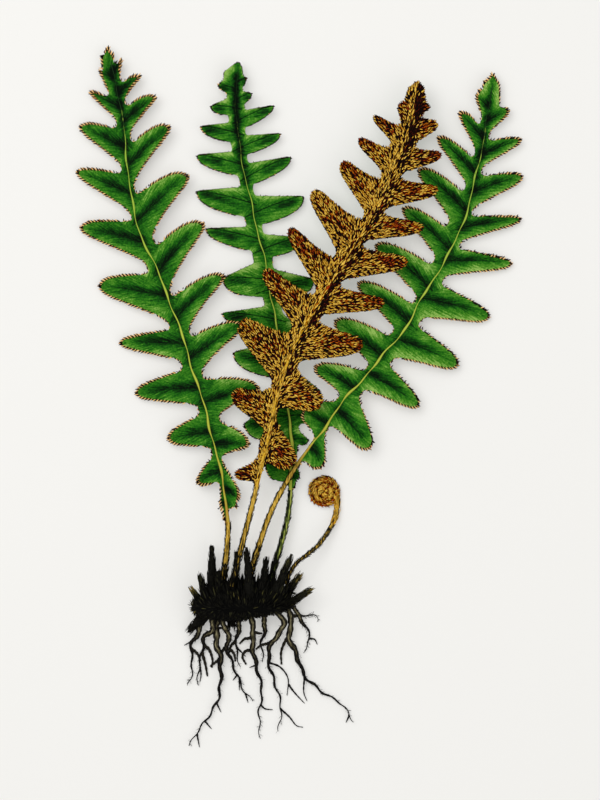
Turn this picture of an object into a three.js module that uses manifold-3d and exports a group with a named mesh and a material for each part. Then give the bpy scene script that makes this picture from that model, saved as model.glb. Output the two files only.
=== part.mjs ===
// Rustyback fern, lifted with its roots and laid on its back on a flat surface.
// Millimetres. +Y runs from the rootstock to the frond tips, +X to the right, +Z up from the surface.
// The origin is the middle of the flat spot under the rootstock.

import * as THREE from 'three';
import { mergeVertices } from 'three/addons/utils/BufferGeometryUtils.js';
import Module from 'manifold-3d';

const wasm = await Module();
wasm.setup();

// A frond is a green blade with a thinner coat of rusty scales close under it
const BLADE = 0.65;
const COAT = 0.6;
const GAP = 0.3;
const STACK = BLADE + GAP + COAT;

// Lobes are folded along their midveins, blades droop to both sides by DROOP times the distance
// squared, and the coat's teeth stand out past the blade
const FOLD = 0.8;
const DROOP = 0.004;
const LOBE_STEPS = [0, 0.36, 0.7, 1];
const TOOTH = 0.6;
const TOOTHED_EDGE = 2;

// Narrower bays between lobes are plain notches
const LEAST_BAY = 1.15;

// Stalks and midribs
const STALK_RADIUS = 0.82;
const MIDRIB_RADIUS = 0.62;
const TIP_RADIUS = 0.25;
const TUBE_SIDES = 6;

// The rootstock is a lumpy body about 26 mm wide
const ROOTSTOCK = { centre: [0.5, -0.6, 5], half: [13, 5.2, 5.7], scales: 36 };

// Each frond: its stalk and midrib as one route, the height where the blade starts, how far the
// blade leans sideways (rise in mm per mm to the left), how wide the bay between two lobes is as a
// share of a lobe, half the width of the frond's rounded tip, and per side the lobes from the foot
// up, as the tip of the lobe and the notch above it.
// lowerEdge and upperEdge say how far a lobe's edge draws in at its waist, and how full it is near
// the tip, as shares of half the lobe's width.
const LEFT = {
  name: 'left_frond',
  route: [[-5.2, 3, 5], [-4, 13, 4.6], [-3.8, 20, 4], [-6.5, 36, 3.4], [-13, 59, 3.2],
    [-19.2, 77, 3.1], [-26.8, 95, 3], [-29.1, 110, 2.8], [-30.6, 123, 2.4], [-34.2, 138.8, 2]],
  foot: 19,
  lean: -0.1,
  turned: false,
  bay: 0.17,
  crown: 1.9,
  left: {
    start: [-4.8, 20.5],
    lowerEdge: [0.5, 0.55],
    upperEdge: [0.4, 0.55],
    lobes: [[-5.7, 23, -6.2, 28.5], [-11.5, 29.2, -8.2, 37], [-18.9, 40.2, -11.5, 47.5],
      [-27, 51.7, -15.8, 58.8], [-31, 64.3, -19, 68.8], [-36.2, 78.6, -24.5, 83.3],
      [-40.8, 93.3, -28.6, 96.3], [-41.8, 107.2, -31, 108.2], [-41, 118.6, -32.2, 119.5],
      [-38.5, 127.2, -34.2, 127.2], [-36.6, 132, -34.8, 134.2]],
  },
  right: {
    start: [-3.2, 22.6],
    lowerEdge: [0.75, 0.5],
    upperEdge: [0.12, 0.6],
    lobes: [[-1, 25.2, -4.8, 35], [1.5, 38.8, -5.5, 45.5], [4, 53, -9.8, 56.5], [0, 68.8, -13, 67.2],
      [-4.8, 81.2, -17.8, 77.2], [-9.8, 94.2, -22, 90.2], [-13.7, 106.2, -26.8, 103],
      [-18.2, 118.4, -27.8, 116], [-21.8, 126, -29.2, 124.8], [-25.7, 131.2, -30.4, 130.5],
      [-30.4, 135.3, -32, 134.8]],
  },
};

const BACK = {
  name: 'back_frond',
  route: [[6.2, 3, 3], [9.2, 13, 3], [11.4, 22, 2.8], [12, 36, 2.3], [11.5, 48, 1.9], [8.2, 69, 1.75],
    [5.8, 83, 1.75], [2.8, 96, 1.8], [0.2, 107.5, 2], [-1.5, 118.5, 2.4], [-1.8, 126, 2.8],
    [-1.2, 134.9, 3.4]],
  foot: 27,
  lean: 0,
  turned: false,
  bay: 0.3,
  crown: 1.9,
  left: {
    start: [10.9, 29.5],
    lowerEdge: [-0.1, 1],
    upperEdge: [0.6, 0],
    lobes: [[5.8, 34.5, 10.2, 40], [0.2, 44.2, 8.8, 53.8], [-2.2, 62.2, 6.8, 66.4],
      [-5.2, 72, 5.2, 74.8], [-5, 80.8, 2.4, 86], [-9.2, 93.2, 0.6, 94.8], [-11.5, 102.6, -1, 105],
      [-11.5, 111.6, -3, 113.6], [-10.5, 118.8, -3.7, 120.6], [-8, 124.6, -4, 126.2],
      [-6, 129.4, -3, 131.4]],
  },
  right: {
    start: [12.9, 28.5],
    lowerEdge: [-0.1, 1],
    upperEdge: [0.6, 0],
    lobes: [[14.4, 31, 13.6, 37.8], [16.4, 40.2, 14, 43.2], [18.8, 53, 11.2, 61],
      [17, 66.5, 9.6, 73.8], [17.6, 80.6, 7.4, 84.6], [14.5, 91, 4.9, 93], [14.9, 101.3, 2.6, 102.8],
      [11.8, 111.2, 1.1, 110.6], [9.2, 117, 0.6, 117.4], [7.5, 124, 0.4, 123.6],
      [2.2, 128, 0.2, 127.9], [1.4, 131, 0.4, 131]],
  },
};

const TURNED = {
  name: 'turned_frond',
  route: [[-3, 3, 8.6], [-0.2, 13.8, 9.2], [2.4, 24, 9.8], [5, 35, 10.2], [7, 43.5, 10.4],
    [8.2, 50, 10.4], [11.4, 60, 10.3], [16, 69.5, 10.1], [21.2, 78, 9.8], [27.8, 88, 9.4],
    [33.8, 98.5, 8.8], [38, 108.2, 8.2], [42.2, 119.8, 7.4], [43.5, 129.8, 6.8]],
  foot: 28,
  lean: -0.04,
  turned: true,
  bay: 0.17,
  crown: 2.3,
  left: {
    start: [2.6, 29.5],
    lowerEdge: [0.45, 0.8],
    upperEdge: [0.75, 0.6],
    lobes: [[-2, 31.5, 3.8, 36.2], [4.2, 39.2, 5, 42.2], [-2.5, 51.8, 7, 53.8],
      [-0.5, 69.5, 11.8, 67.8], [5.5, 82.5, 17.8, 77], [11.7, 92.8, 22.8, 86.3],
      [17.6, 102.2, 29.8, 95.8], [24.7, 109.3, 34.4, 106], [29, 115.2, 36.8, 113.6],
      [32.7, 121, 39.2, 119], [39.4, 124.4, 41.2, 125.8]],
  },
  right: {
    start: [5.8, 34],
    lowerEdge: [0.4, 0.8],
    upperEdge: [0.6, 0.6],
    lobes: [[13, 34.4, 8.8, 46.8], [19.8, 49.4, 14, 58.5], [29.8, 63.8, 19.5, 70.2],
      [35.2, 74.2, 24.5, 79], [41, 84.5, 30.2, 88.8], [45, 93, 35.6, 97], [48.6, 102.5, 39.8, 105.8],
      [49.5, 111.2, 43.2, 113.5], [48.5, 119, 44.6, 119.8], [46.6, 123.4, 45.2, 125.4]],
  },
};

const RIGHT = {
  name: 'right_frond',
  route: [[1, 3, 5], [3.5, 12, 5.2], [7.2, 22.5, 5.3], [13, 33, 5.4], [18.8, 41, 5.2],
    [25.8, 50.5, 4.8], [34, 60, 4.3], [40, 67.2, 3.8], [45, 75.8, 3.2], [49.8, 83.8, 2.8],
    [53.4, 90.2, 2.6], [56.2, 97.8, 2.5], [58.5, 107, 2.4], [60.4, 116, 2.4], [62.9, 132.2, 2.2]],
  foot: 33,
  lean: 0.06,
  turned: false,
  bay: 0.17,
  crown: 2.3,
  left: {
    start: [17.4, 40.8],
    lowerEdge: [0.6, 0.75],
    upperEdge: [0.15, 0.55],
    lobes: [[15, 47.5, 23.4, 50.8], [18, 58.5, 30.6, 58.4], [23, 70, 37, 67.2],
      [28.8, 79.5, 42.8, 75.2], [33.2, 89, 47.4, 85.2], [40, 98.2, 51, 94.5], [44, 108, 55.2, 103.5],
      [48.8, 116, 57.6, 112], [54.2, 122.2, 59.2, 120.2], [58, 126.4, 60.8, 127.6]],
  },
  right: {
    start: [15.2, 34.4],
    lowerEdge: [0.5, 0.7],
    upperEdge: [0.42, 0.55],
    lobes: [[19.8, 33, 21.6, 42.6], [32, 37.8, 30, 51.5], [44.2, 48.5, 37.6, 59.6],
      [54.1, 58.8, 44.8, 69.5], [61.9, 70.9, 50.6, 80], [67.5, 84.3, 54.8, 89],
      [69.8, 95.5, 57.8, 97.2], [70.2, 106.2, 60.2, 107.5], [69.8, 115.4, 62, 116.2],
      [67, 122.5, 64.2, 125.4]],
  },
};

// The crozier: a stalk that climbs from the rootstock, then winds into a flat coil round a felted core
const CROZIER = {
  stalk: [[10.4, 3.6, 5.4], [13, 8.8, 5], [16, 11.3, 4.2], [19, 13.8, 3.2], [21.4, 17.2, 2.1],
    [23, 20.4, 1.3], [23.6, 23.6, 0.95]],
  centre: [20.2, 27, 0.85],
  coilRadius: 3.25,
  coilPitch: 1.55,
  turns: 1.65,
  stalkRadius: 0.68,
  coilStartRadius: 0.64,
  coilEndRadius: 0.56,
  core: { radius: 3.4, low: 0.35, high: 1.15 },
  bristles: 26,
};

// Stubs of old leaf stalks: foot, tip and radius
const STUBS = [
  [[-8, 2, 4], [-8, 14, 3.5], 1.5],
  [[-2.2, 2, 3.4], [-1.4, 13, 2], 1.1],
  [[1.8, 1, 9], [1, 13.5, 9.6], 1.4],
  [[4.6, 2, 7], [6, 11, 8.2], 1.2],
  [[8, 1.5, 7.4], [12, 11.4, 8.4], 1.3],
  [[9.5, 1, 3], [14.2, 7, 1.6], 1.2],
  [[10, -1.5, 5.5], [17.2, 3.2, 6], 1.5],
  [[-9, 1, 6], [-10.8, 7.6, 7], 1.3],
  [[-10, -0.5, 3.6], [-13.4, 3, 3], 1.2],
  [[-9, -2.5, 4], [-14, -7.6, 2.4], 1.4],
  [[-3, -3, 3], [-3.4, -7, 1.8], 1.9],
  [[-6, 1.5, 8], [-6.6, 10, 9.6], 1.2],
];

// Roots as they lie: the height and radius where they leave the rootstock, the route, and rootlets
const ROOTS = [
  {
    height: 3,
    radius: 0.7,
    path: [[-9.4, -3.2], [-11, -7.8], [-12.8, -10.8], [-13, -14.2], [-12.8, -18], [-13.8, -21.5]],
    rootlets: [[[-12.7, -10.6], [-14.8, -11.6]]],
  },
  {
    height: 6,
    radius: 0.7,
    path: [[-7.6, -3.2], [-7.8, -7.4], [-9.7, -9.6], [-10.2, -12.4], [-11, -16.2], [-11.5, -21.6]],
    rootlets: [[[-10.4, -13.4], [-9.4, -17], [-9, -19.6]]],
  },
  {
    height: 6.6,
    radius: 0.7,
    path: [[-4.8, -3.4], [-5.2, -6], [-3.5, -8.4], [-4.2, -11.6], [-3, -15.4], [-1.2, -19.8],
      [0.4, -23.4], [2.4, -25.6]],
    rootlets: [[[-1.2, -19.6], [-2.6, -22.4]]],
  },
  {
    height: 3,
    radius: 0.75,
    path: [[-5.9, -3.6], [-6.8, -9.8], [-5.8, -14.4], [-5.8, -22], [-6.6, -25.8], [-10.4, -31.8],
      [-11.9, -33.8], [-13.5, -36.8]],
    rootlets: [[[-11.8, -33.6], [-11, -37.2]], [[-6.8, -26], [-5.6, -28.4]],
      [[-9.6, -30.6], [-8, -32.6]]],
  },
  {
    height: 3,
    radius: 0.65,
    path: [[-0.8, -4], [-1.4, -8.8], [-1.8, -12.2], [-0.8, -17]],
    rootlets: [[[-1.7, -12], [0.6, -14.4]]],
  },
  {
    height: 6,
    radius: 0.7,
    path: [[1.6, -3.6], [2.7, -7.6], [2.3, -10], [2.8, -14.6], [4.7, -23.2], [4, -28], [4.2, -35]],
    rootlets: [[[2.4, -9.8], [-0.2, -11.6]], [[4, -28.2], [2, -31.4]]],
  },
  {
    height: 3,
    radius: 0.65,
    path: [[5.2, -3.6], [5.4, -7.4], [4.6, -10.8], [5, -15.8]],
    rootlets: [],
  },
  {
    height: 6,
    radius: 0.7,
    path: [[8.4, -2.6], [10.2, -6.4], [7.2, -10.8], [6.3, -15], [7.4, -19.4], [9.5, -27],
      [8.8, -33.2]],
    rootlets: [[[9.4, -26.6], [13, -31.8]], [[6.6, -15.8], [9.2, -17], [11.2, -19.8], [11, -24.2]]],
  },
  {
    height: 3.2,
    radius: 0.75,
    path: [[11, -2], [12.2, -5.4], [11.4, -8.6], [13.8, -15], [15.5, -19.3], [21.2, -24.2],
      [24.6, -26.2], [26.8, -29.4], [27.8, -30.8]],
    rootlets: [[[11.5, -8.8], [9.8, -12.2], [9.2, -14.8]], [[15.4, -19.4], [15.2, -23.4], [16, -25.6]],
      [[26.6, -29.2], [25.8, -31]]],
  },
  {
    height: 8,
    radius: 0.6,
    path: [[10.6, -0.8], [15, -3.4], [17.6, -3.8], [18.6, -5.4]],
    rootlets: [],
  },
  {
    height: 2.6,
    radius: 0.6,
    path: [[12.6, -1.8], [15, -6.2], [16.4, -9], [16.6, -11], [14.9, -13.4]],
    rootlets: [[[16.4, -9.2], [18.6, -11.4]]],
  },
];

// Colours
const GREEN = 0x2e8b2f;
const OCHRE = 0xa08a3c;
const RUST = 0xb3742a;
const BLACK = 0x26221a;
const ROOT_BROWN = 0x3a2e1e;

// A seeded random number between 0 and 1
let seed = 7;
function random() {
  seed = (seed * 16807) % 2147483647;
  return seed / 2147483647;
}

const vec = (point) => new THREE.Vector3(point[0], point[1], point[2] ?? 0);
const curveThrough = (points) => new THREE.CatmullRomCurve3(points.map(vec), false, 'centripetal');
const mix = THREE.MathUtils.lerp;

// Closed solids from vertices and triangles, for joining and cutting
function solid(vertices, triangles) {
  const vertProperties = new Float32Array(vertices.flatMap((v) => [v.x, v.y, v.z]));
  const triVerts = new Uint32Array(triangles.flat());
  return new wasm.Manifold(new wasm.Mesh({ numProp: 3, vertProperties, triVerts }));
}

function solidFromGeometry(source) {
  const geometry = source.clone();
  geometry.deleteAttribute('normal');
  geometry.deleteAttribute('uv');
  const merged = mergeVertices(geometry, 1e-4);
  const position = merged.attributes.position;
  const vertices = Array.from({ length: position.count }, (_, i) => (
    new THREE.Vector3().fromBufferAttribute(position, i)));
  const triangles = [];
  for (let i = 0; i < merged.index.count; i += 3) {
    const corners = [0, 1, 2].map((k) => merged.index.getX(i + k));
    if (new Set(corners).size === 3) triangles.push(corners);
  }
  return solid(vertices, triangles);
}

function joined(solids) {
  return solids.reduce((whole, next) => whole.add(next));
}

function meshOf(name, body, colour, roughness) {
  const { vertProperties, triVerts } = body.getMesh();
  const geometry = new THREE.BufferGeometry();
  geometry.setAttribute('position', new THREE.BufferAttribute(vertProperties, 3));
  geometry.setIndex(new THREE.BufferAttribute(triVerts, 1));
  geometry.computeVertexNormals();
  const material = new THREE.MeshStandardMaterial({ color: colour, roughness, metalness: 0 });
  const mesh = new THREE.Mesh(geometry, material);
  mesh.name = name;
  return mesh;
}

// A round rod along a curve, its radius given as a function of the way along, closed at both ends
function rod(curve, from, to, radiusAt, steps, sides = TUBE_SIDES) {
  const vertices = [];
  const triangles = [];
  for (let i = 0; i <= steps; i += 1) {
    const u = mix(from, to, i / steps);
    const centre = curve.getPointAt(u);
    const along = curve.getTangentAt(u);
    const side = new THREE.Vector3(0, 0, 1).cross(along).normalize();
    const up = along.clone().cross(side);
    for (let k = 0; k < sides; k += 1) {
      const turn = (k + 0.5) * 2 * Math.PI / sides;
      const reach = radiusAt(i / steps);
      const corner = centre.clone().addScaledVector(side, Math.cos(turn) * reach);
      vertices.push(corner.addScaledVector(up, Math.sin(turn) * reach));
    }
  }
  for (let i = 0; i < steps; i += 1) {
    for (let k = 0; k < sides; k += 1) {
      const a = i * sides + k;
      const b = i * sides + (k + 1) % sides;
      triangles.push([a, b, b + sides], [a, b + sides, a + sides]);
    }
  }
  const last = steps * sides;
  for (let k = 1; k < sides - 1; k += 1) {
    triangles.push([0, k + 1, k], [last, last + k, last + k + 1]);
  }
  return solid(vertices, triangles);
}

// A scale: a three-sided wedge, its wide end sunk where it grows and its tip standing clear
function scale(foot, tip, width, sink, lift) {
  const along = tip.clone().sub(foot).normalize();
  const side = new THREE.Vector3(0, 0, Math.sign(lift)).cross(along).normalize().multiplyScalar(width / 2);
  const down = new THREE.Vector3(0, 0, -sink * Math.sign(lift));
  const vertices = [
    foot.clone().add(side).add(down),
    foot.clone().sub(side).add(down),
    foot.clone().addScaledVector(new THREE.Vector3(0, 0, lift), 1).addScaledVector(along, width),
    tip.clone().addScaledVector(down, 0.2),
  ];
  return solid(vertices, [[0, 1, 2], [0, 2, 3], [1, 3, 2], [0, 3, 1]]);
}

// Where a point lies against a frond's midrib: how far along, and how far to the left
function nearest(frond, x, y) {
  let best = { distance: Infinity };
  frond.samples.forEach((sample, i) => {
    const distance = Math.hypot(x - sample.point.x, y - sample.point.y);
    if (distance < best.distance) {
      const offset = (y - sample.point.y) * sample.along.x - (x - sample.point.x) * sample.along.y;
      best = { distance, u: i / (frond.samples.length - 1), offset, height: sample.point.z };
    }
  });
  return best;
}

// The height of a frond's upper surface. fold is 0 on a vein and 1 on the margin.
function heightAt(frond, x, y, fold) {
  const { offset, height } = nearest(frond, x, y);
  const bend = frond.turned ? -FOLD : FOLD;
  return Math.max(height + frond.lean * offset - DROOP * offset * offset + bend * fold, STACK);
}

// A frond's plan: midrib points, and on each side its lobes with their midvein and two edges
function planFrond(frond) {
  frond.curve = curveThrough(frond.route);
  frond.samples = Array.from({ length: 401 }, (_, i) => ({
    point: frond.curve.getPointAt(i / 400),
    along: frond.curve.getTangentAt(i / 400),
  }));
  frond.footU = frond.samples.findIndex((sample) => sample.point.y > frond.foot) / 400;
  const stops = new Set([frond.footU, 1]);
  frond.sides = ['left', 'right'].map((side) => {
    const { start, lobes, lowerEdge, upperEdge } = frond[side];
    let notch = start;
    let below = start;
    const planned = lobes.map(([tipX, tipY, notchX, notchY], i) => {
      const low = nearest(frond, ...notch).u;
      const high = nearest(frond, notchX, notchY).u;
      const foot = Math.round(mix(low, high, 0.42) * 400) / 400;
      stops.add(foot);
      const along = frond.curve.getTangentAt(foot);
      const width = frond.bay * Math.hypot(notchX - notch[0], notchY - notch[1]);
      const halfBay = width > LEAST_BAY ? width / 2 : 0;
      const above = [notchX - along.x * halfBay, notchY - along.y * halfBay];
      const small = i >= lobes.length - 2;
      const lobe = { foot, below, above, tip: [tipX, tipY], small, lowerEdge, upperEdge };
      notch = [notchX, notchY];
      below = [notchX + along.x * halfBay * 0.8, notchY + along.y * halfBay * 0.8];
      return lobe;
    });
    return { side, start, lobes: planned };
  });
  const lastFoot = Math.max(...frond.sides.map(({ lobes }) => lobes.at(-1).foot));
  stops.add(mix(lastFoot, 1, 0.5));
  frond.stops = [...stops].sort((a, b) => a - b);
}

// One edge of a lobe, from its notch to its tip, full at first and rounded in at the end
function lobeEdge(lobe, upper) {
  const [waist, fullness] = upper ? lobe.upperEdge : lobe.lowerEdge;
  const notch = new THREE.Vector2(...(upper ? lobe.above : lobe.below));
  const middle = new THREE.Vector2(...lobe.above).add(new THREE.Vector2(...lobe.below)).multiplyScalar(0.5);
  const tip = new THREE.Vector2(...lobe.tip);
  const axis = tip.clone().sub(middle);
  const out = notch.clone().sub(middle);
  const across = out.clone().addScaledVector(axis, -out.dot(axis) / axis.lengthSq());
  const control1 = notch.clone().addScaledVector(axis, 0.5).addScaledVector(across, -waist);
  const control2 = tip.clone().addScaledVector(across, fullness);
  return new THREE.CubicBezierCurve(notch, control1, control2, tip);
}

// The sheet of a blade or of its coat, as one closed solid between two heights
function sheet(frond, top, bottom, teeth) {
  const plan = [];
  const faces = [];
  const add = (x, y, fold) => plan.push({ x, y, fold }) - 1;
  const face = (a, b, c) => {
    const [p, q, r] = [plan[a], plan[b], plan[c]];
    const area = (q.x - p.x) * (r.y - p.y) - (r.x - p.x) * (q.y - p.y);
    if (a !== b && b !== c && a !== c) faces.push(area > 0 ? [a, b, c] : [a, c, b]);
  };
  const rib = frond.stops.map((u) => {
    const point = frond.curve.getPointAt(u);
    return { u, index: add(point.x, point.y, 0) };
  });
  const between = (low, high) => (
    rib.filter(({ u }) => u >= low - 1e-9 && u <= high + 1e-9).map(({ index }) => index));
  const fan = (centre, ring) => ring.slice(1).forEach((index, i) => face(centre, ring[i], index));

  for (const { side, start, lobes } of frond.sides) {
    let bayBelow = add(start[0], start[1], 0.3);
    let footBelow = frond.footU;
    for (const lobe of lobes) {
      const open = Math.hypot(lobe.below[0] - plan[bayBelow].x, lobe.below[1] - plan[bayBelow].y) > 0.01;
      const belowIndex = open ? add(lobe.below[0], lobe.below[1], 0.5) : bayBelow;
      const ribs = between(footBelow, lobe.foot);
      face(ribs[0], bayBelow, belowIndex);
      fan(belowIndex, ribs);
      const steps = lobe.small ? [0, 0.6, 1] : LOBE_STEPS;
      const root = frond.curve.getPointAt(lobe.foot);
      const tip = add(lobe.tip[0], lobe.tip[1], 0.6);
      const vein = steps.map((t) => {
        if (t === 0) return between(lobe.foot, lobe.foot)[0];
        return t === 1 ? tip : add(mix(root.x, lobe.tip[0], t), mix(root.y, lobe.tip[1], t), 0.25 * t);
      });
      const aboveIndex = add(lobe.above[0], lobe.above[1], 0.5);
      for (const upper of [false, true]) {
        const curve = lobeEdge(lobe, upper);
        const edge = steps.map((t) => {
          if (t === 0) return upper ? aboveIndex : belowIndex;
          if (t === 1) return tip;
          const point = curve.getPoint(t);
          return add(point.x, point.y, 1);
        });
        for (let j = 0; j < steps.length - 1; j += 1) {
          face(vein[j], vein[j + 1], edge[j + 1]);
          face(vein[j], edge[j + 1], edge[j]);
          const [p, q] = [plan[edge[j]], plan[edge[j + 1]]];
          const length = Math.hypot(q.x - p.x, q.y - p.y);
          if (teeth && !lobe.small && length > TOOTHED_EDGE) {
            const outward = new THREE.Vector2(q.y - p.y, p.x - q.x).divideScalar(length);
            const inside = plan[vein[Math.max(j, 1)]];
            if (outward.dot(new THREE.Vector2(inside.x - p.x, inside.y - p.y)) > 0) outward.negate();
            const near = j === 0 ? 0.75 : 0.6;
            const tooth = add(
              mix(p.x, q.x, near) + outward.x * TOOTH,
              mix(p.y, q.y, near) + outward.y * TOOTH,
              1,
            );
            face(edge[j], edge[j + 1], tooth);
          }
        }
      }
      bayBelow = aboveIndex;
      footBelow = lobe.foot;
    }
    // The tip of the frond, past the last notch
    const ribs = between(footBelow, 1);
    const end = frond.curve.getPointAt(1);
    const hand = side === 'left' ? 1 : -1;
    const along = frond.curve.getTangentAt(0.99);
    const bulge = add(
      end.x - (hand * along.y + along.x * 1.4) * frond.crown,
      end.y + (hand * along.x - along.y * 1.4) * frond.crown,
      0.8,
    );
    const ring = [...ribs, bulge, bayBelow];
    const shape = ring.map((index) => new THREE.Vector2(plan[index].x, plan[index].y));
    for (const [a, b, c] of THREE.ShapeUtils.triangulateShape(shape, [])) face(ring[a], ring[b], ring[c]);
  }

  // Two faces with the same triangles, and a wall along every outer edge
  const upper = plan.map(({ x, y, fold }) => new THREE.Vector3(x, y, heightAt(frond, x, y, fold) - top));
  const lower = upper.map((point) => point.clone().setZ(point.z + top - bottom));
  const count = plan.length;
  const edges = new Map();
  for (const [a, b, c] of faces) {
    for (const [p, q] of [[a, b], [b, c], [c, a]]) edges.set(`${p} ${q}`, [p, q]);
  }
  const walls = [...edges.values()].filter(([p, q]) => !edges.has(`${q} ${p}`));
  const triangles = [
    ...faces,
    ...faces.map(([a, b, c]) => [a + count, c + count, b + count]),
    ...walls.flatMap(([p, q]) => [[p, p + count, q + count], [p, q + count, q]]),
  ];
  return solid([...upper, ...lower], triangles);
}

// The midrib along a blade, half sunk in it and tapering to the tip
function midrib(frond) {
  const raised = frond.curve.clone();
  raised.points = raised.points.map((point) => point.clone().add(new THREE.Vector3(0, 0, -0.05)));
  return rod(raised, frond.footU + 0.004, 0.985, (t) => mix(MIDRIB_RADIUS, TIP_RADIUS, t), 12, 4);
}

// Wedges of rusty scales over the coat of a frond that shows its underside, in rows out along each lobe
function coatScales(frond) {
  const wedges = [];
  const place = (x, y, fold, heading, length) => {
    const foot = new THREE.Vector3(x, y, heightAt(frond, x, y, fold));
    const tipX = x + Math.cos(heading) * length;
    const tipY = y + Math.sin(heading) * length;
    const tip = new THREE.Vector3(tipX, tipY, foot.z + 0.12);
    wedges.push(scale(foot, tip, length * 0.45, 0.3, 0.5));
  };
  for (const { lobes } of frond.sides) {
    for (const lobe of lobes) {
      const root = frond.curve.getPointAt(lobe.foot);
      const length = Math.hypot(lobe.tip[0] - root.x, lobe.tip[1] - root.y);
      const heading = Math.atan2(lobe.tip[1] - root.y, lobe.tip[0] - root.x);
      const rows = Math.max(1, Math.round(length / 6.5));
      for (let row = 0; row < rows; row += 1) {
        const t = mix(0.12, 0.66, rows === 1 ? 0 : row / (rows - 1));
        const lowEdge = lobeEdge(lobe, false).getPoint(t);
        const highEdge = lobeEdge(lobe, true).getPoint(t);
        const middle = { x: mix(root.x, lobe.tip[0], t), y: mix(root.y, lobe.tip[1], t) };
        const spots = row % 2 === 0 ? [-0.62, 0, 0.62] : [-0.5, 0.5];
        for (const spot of lobe.small ? [0] : spots) {
          const edge = spot < 0 ? lowEdge : highEdge;
          const x = mix(middle.x, edge.x, Math.abs(spot));
          const y = mix(middle.y, edge.y, Math.abs(spot));
          const fold = mix(0.25 * t, 1, Math.abs(spot));
          place(x, y, fold, heading + spot * 0.5 + (random() - 0.5) * 0.4, 3.9 + random() * 0.5);
        }
      }
    }
  }
  return wedges;
}

// Stalks leave the rootstock through holes that are a gap wider than they are
function stalk(frond, extra = 0) {
  const start = extra > 0 ? 0 : 0.004;
  const end = frond.footU - 0.003;
  return rod(frond.curve, start, end, (t) => mix(STALK_RADIUS, MIDRIB_RADIUS + 0.08, t) + extra, 10);
}

function crozierCurve() {
  const { stalk: points, centre, coilRadius, coilPitch, turns } = CROZIER;
  const coil = [];
  const steps = Math.round(turns * 10);
  for (let i = 0; i <= steps; i += 1) {
    const turn = i / 10;
    const reach = coilRadius - coilPitch * turn;
    const angle = turn * 2 * Math.PI - 0.2;
    coil.push([centre[0] + reach * Math.cos(angle), centre[1] + reach * Math.sin(angle), centre[2]]);
  }
  const open = coil.filter(([x, y]) => Math.hypot(x - centre[0], y - centre[1]) > 0.35);
  return curveThrough([...points, ...open]);
}

function crozier() {
  const curve = crozierCurve();
  const { stalkRadius, coilStartRadius, coilEndRadius } = CROZIER;
  const radiusAt = (t) => (t < 0.5
    ? mix(stalkRadius, coilStartRadius, t * 2)
    : mix(coilStartRadius, coilEndRadius, t * 2 - 1));
  const body = rod(curve, 0.006, 1, radiusAt, 44);
  const bristles = [];
  for (let i = 0; i < CROZIER.bristles; i += 1) {
    const u = 0.3 + 0.58 * (i + 0.5) / CROZIER.bristles;
    const point = curve.getPointAt(u);
    const along = curve.getTangentAt(u);
    const out = new THREE.Vector3(along.y, -along.x, 0).multiplyScalar(i % 2 === 0 || u > 0.5 ? 1 : -1);
    const foot = point.clone().addScaledVector(out, 0.35).add(new THREE.Vector3(0, 0, 0.1));
    const tip = foot.clone().addScaledVector(out, 1).addScaledVector(along, 0.7);
    bristles.push(scale(foot, tip, 0.8, 0.3, 0.35));
  }
  const { radius, low, high } = CROZIER.core;
  const disc = new THREE.CylinderGeometry(radius, radius, high - low, 20).rotateX(Math.PI / 2);
  disc.translate(CROZIER.centre[0], CROZIER.centre[1], (low + high) / 2);
  return joined([body, solidFromGeometry(disc), ...bristles]);
}

function rootCurve(root) {
  const lift = root.height - root.radius;
  const points = root.path.map(([x, y], i) => {
    const t = Math.min(i / (root.path.length - 2), 1);
    return [x, y, root.radius + lift * (1 - t) ** 2];
  });
  return curveThrough(points);
}

function rootSolid(root) {
  const curve = rootCurve(root);
  const end = root.radius * 0.5;
  const body = rod(curve, 0.01, 1, (t) => mix(root.radius, end, t), root.path.length * 2, 5);
  const samples = Array.from({ length: 61 }, (_, i) => curve.getPointAt(i / 60));
  const rootlets = root.rootlets.map((path) => {
    const away = (point) => Math.hypot(point.x - path[0][0], point.y - path[0][1]);
    const from = samples.reduce((best, point) => (away(point) < away(best) ? point : best));
    const rest = path.slice(1).map(([x, y], i) => [x, y, mix(from.z, 0.4, (i + 1) / (path.length - 1))]);
    const twig = curveThrough([[from.x, from.y, from.z], ...rest]);
    return rod(twig, 0, 1, (t) => mix(0.42, 0.3, t), path.length * 2, 4);
  });
  return joined([body, ...rootlets]);
}

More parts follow.
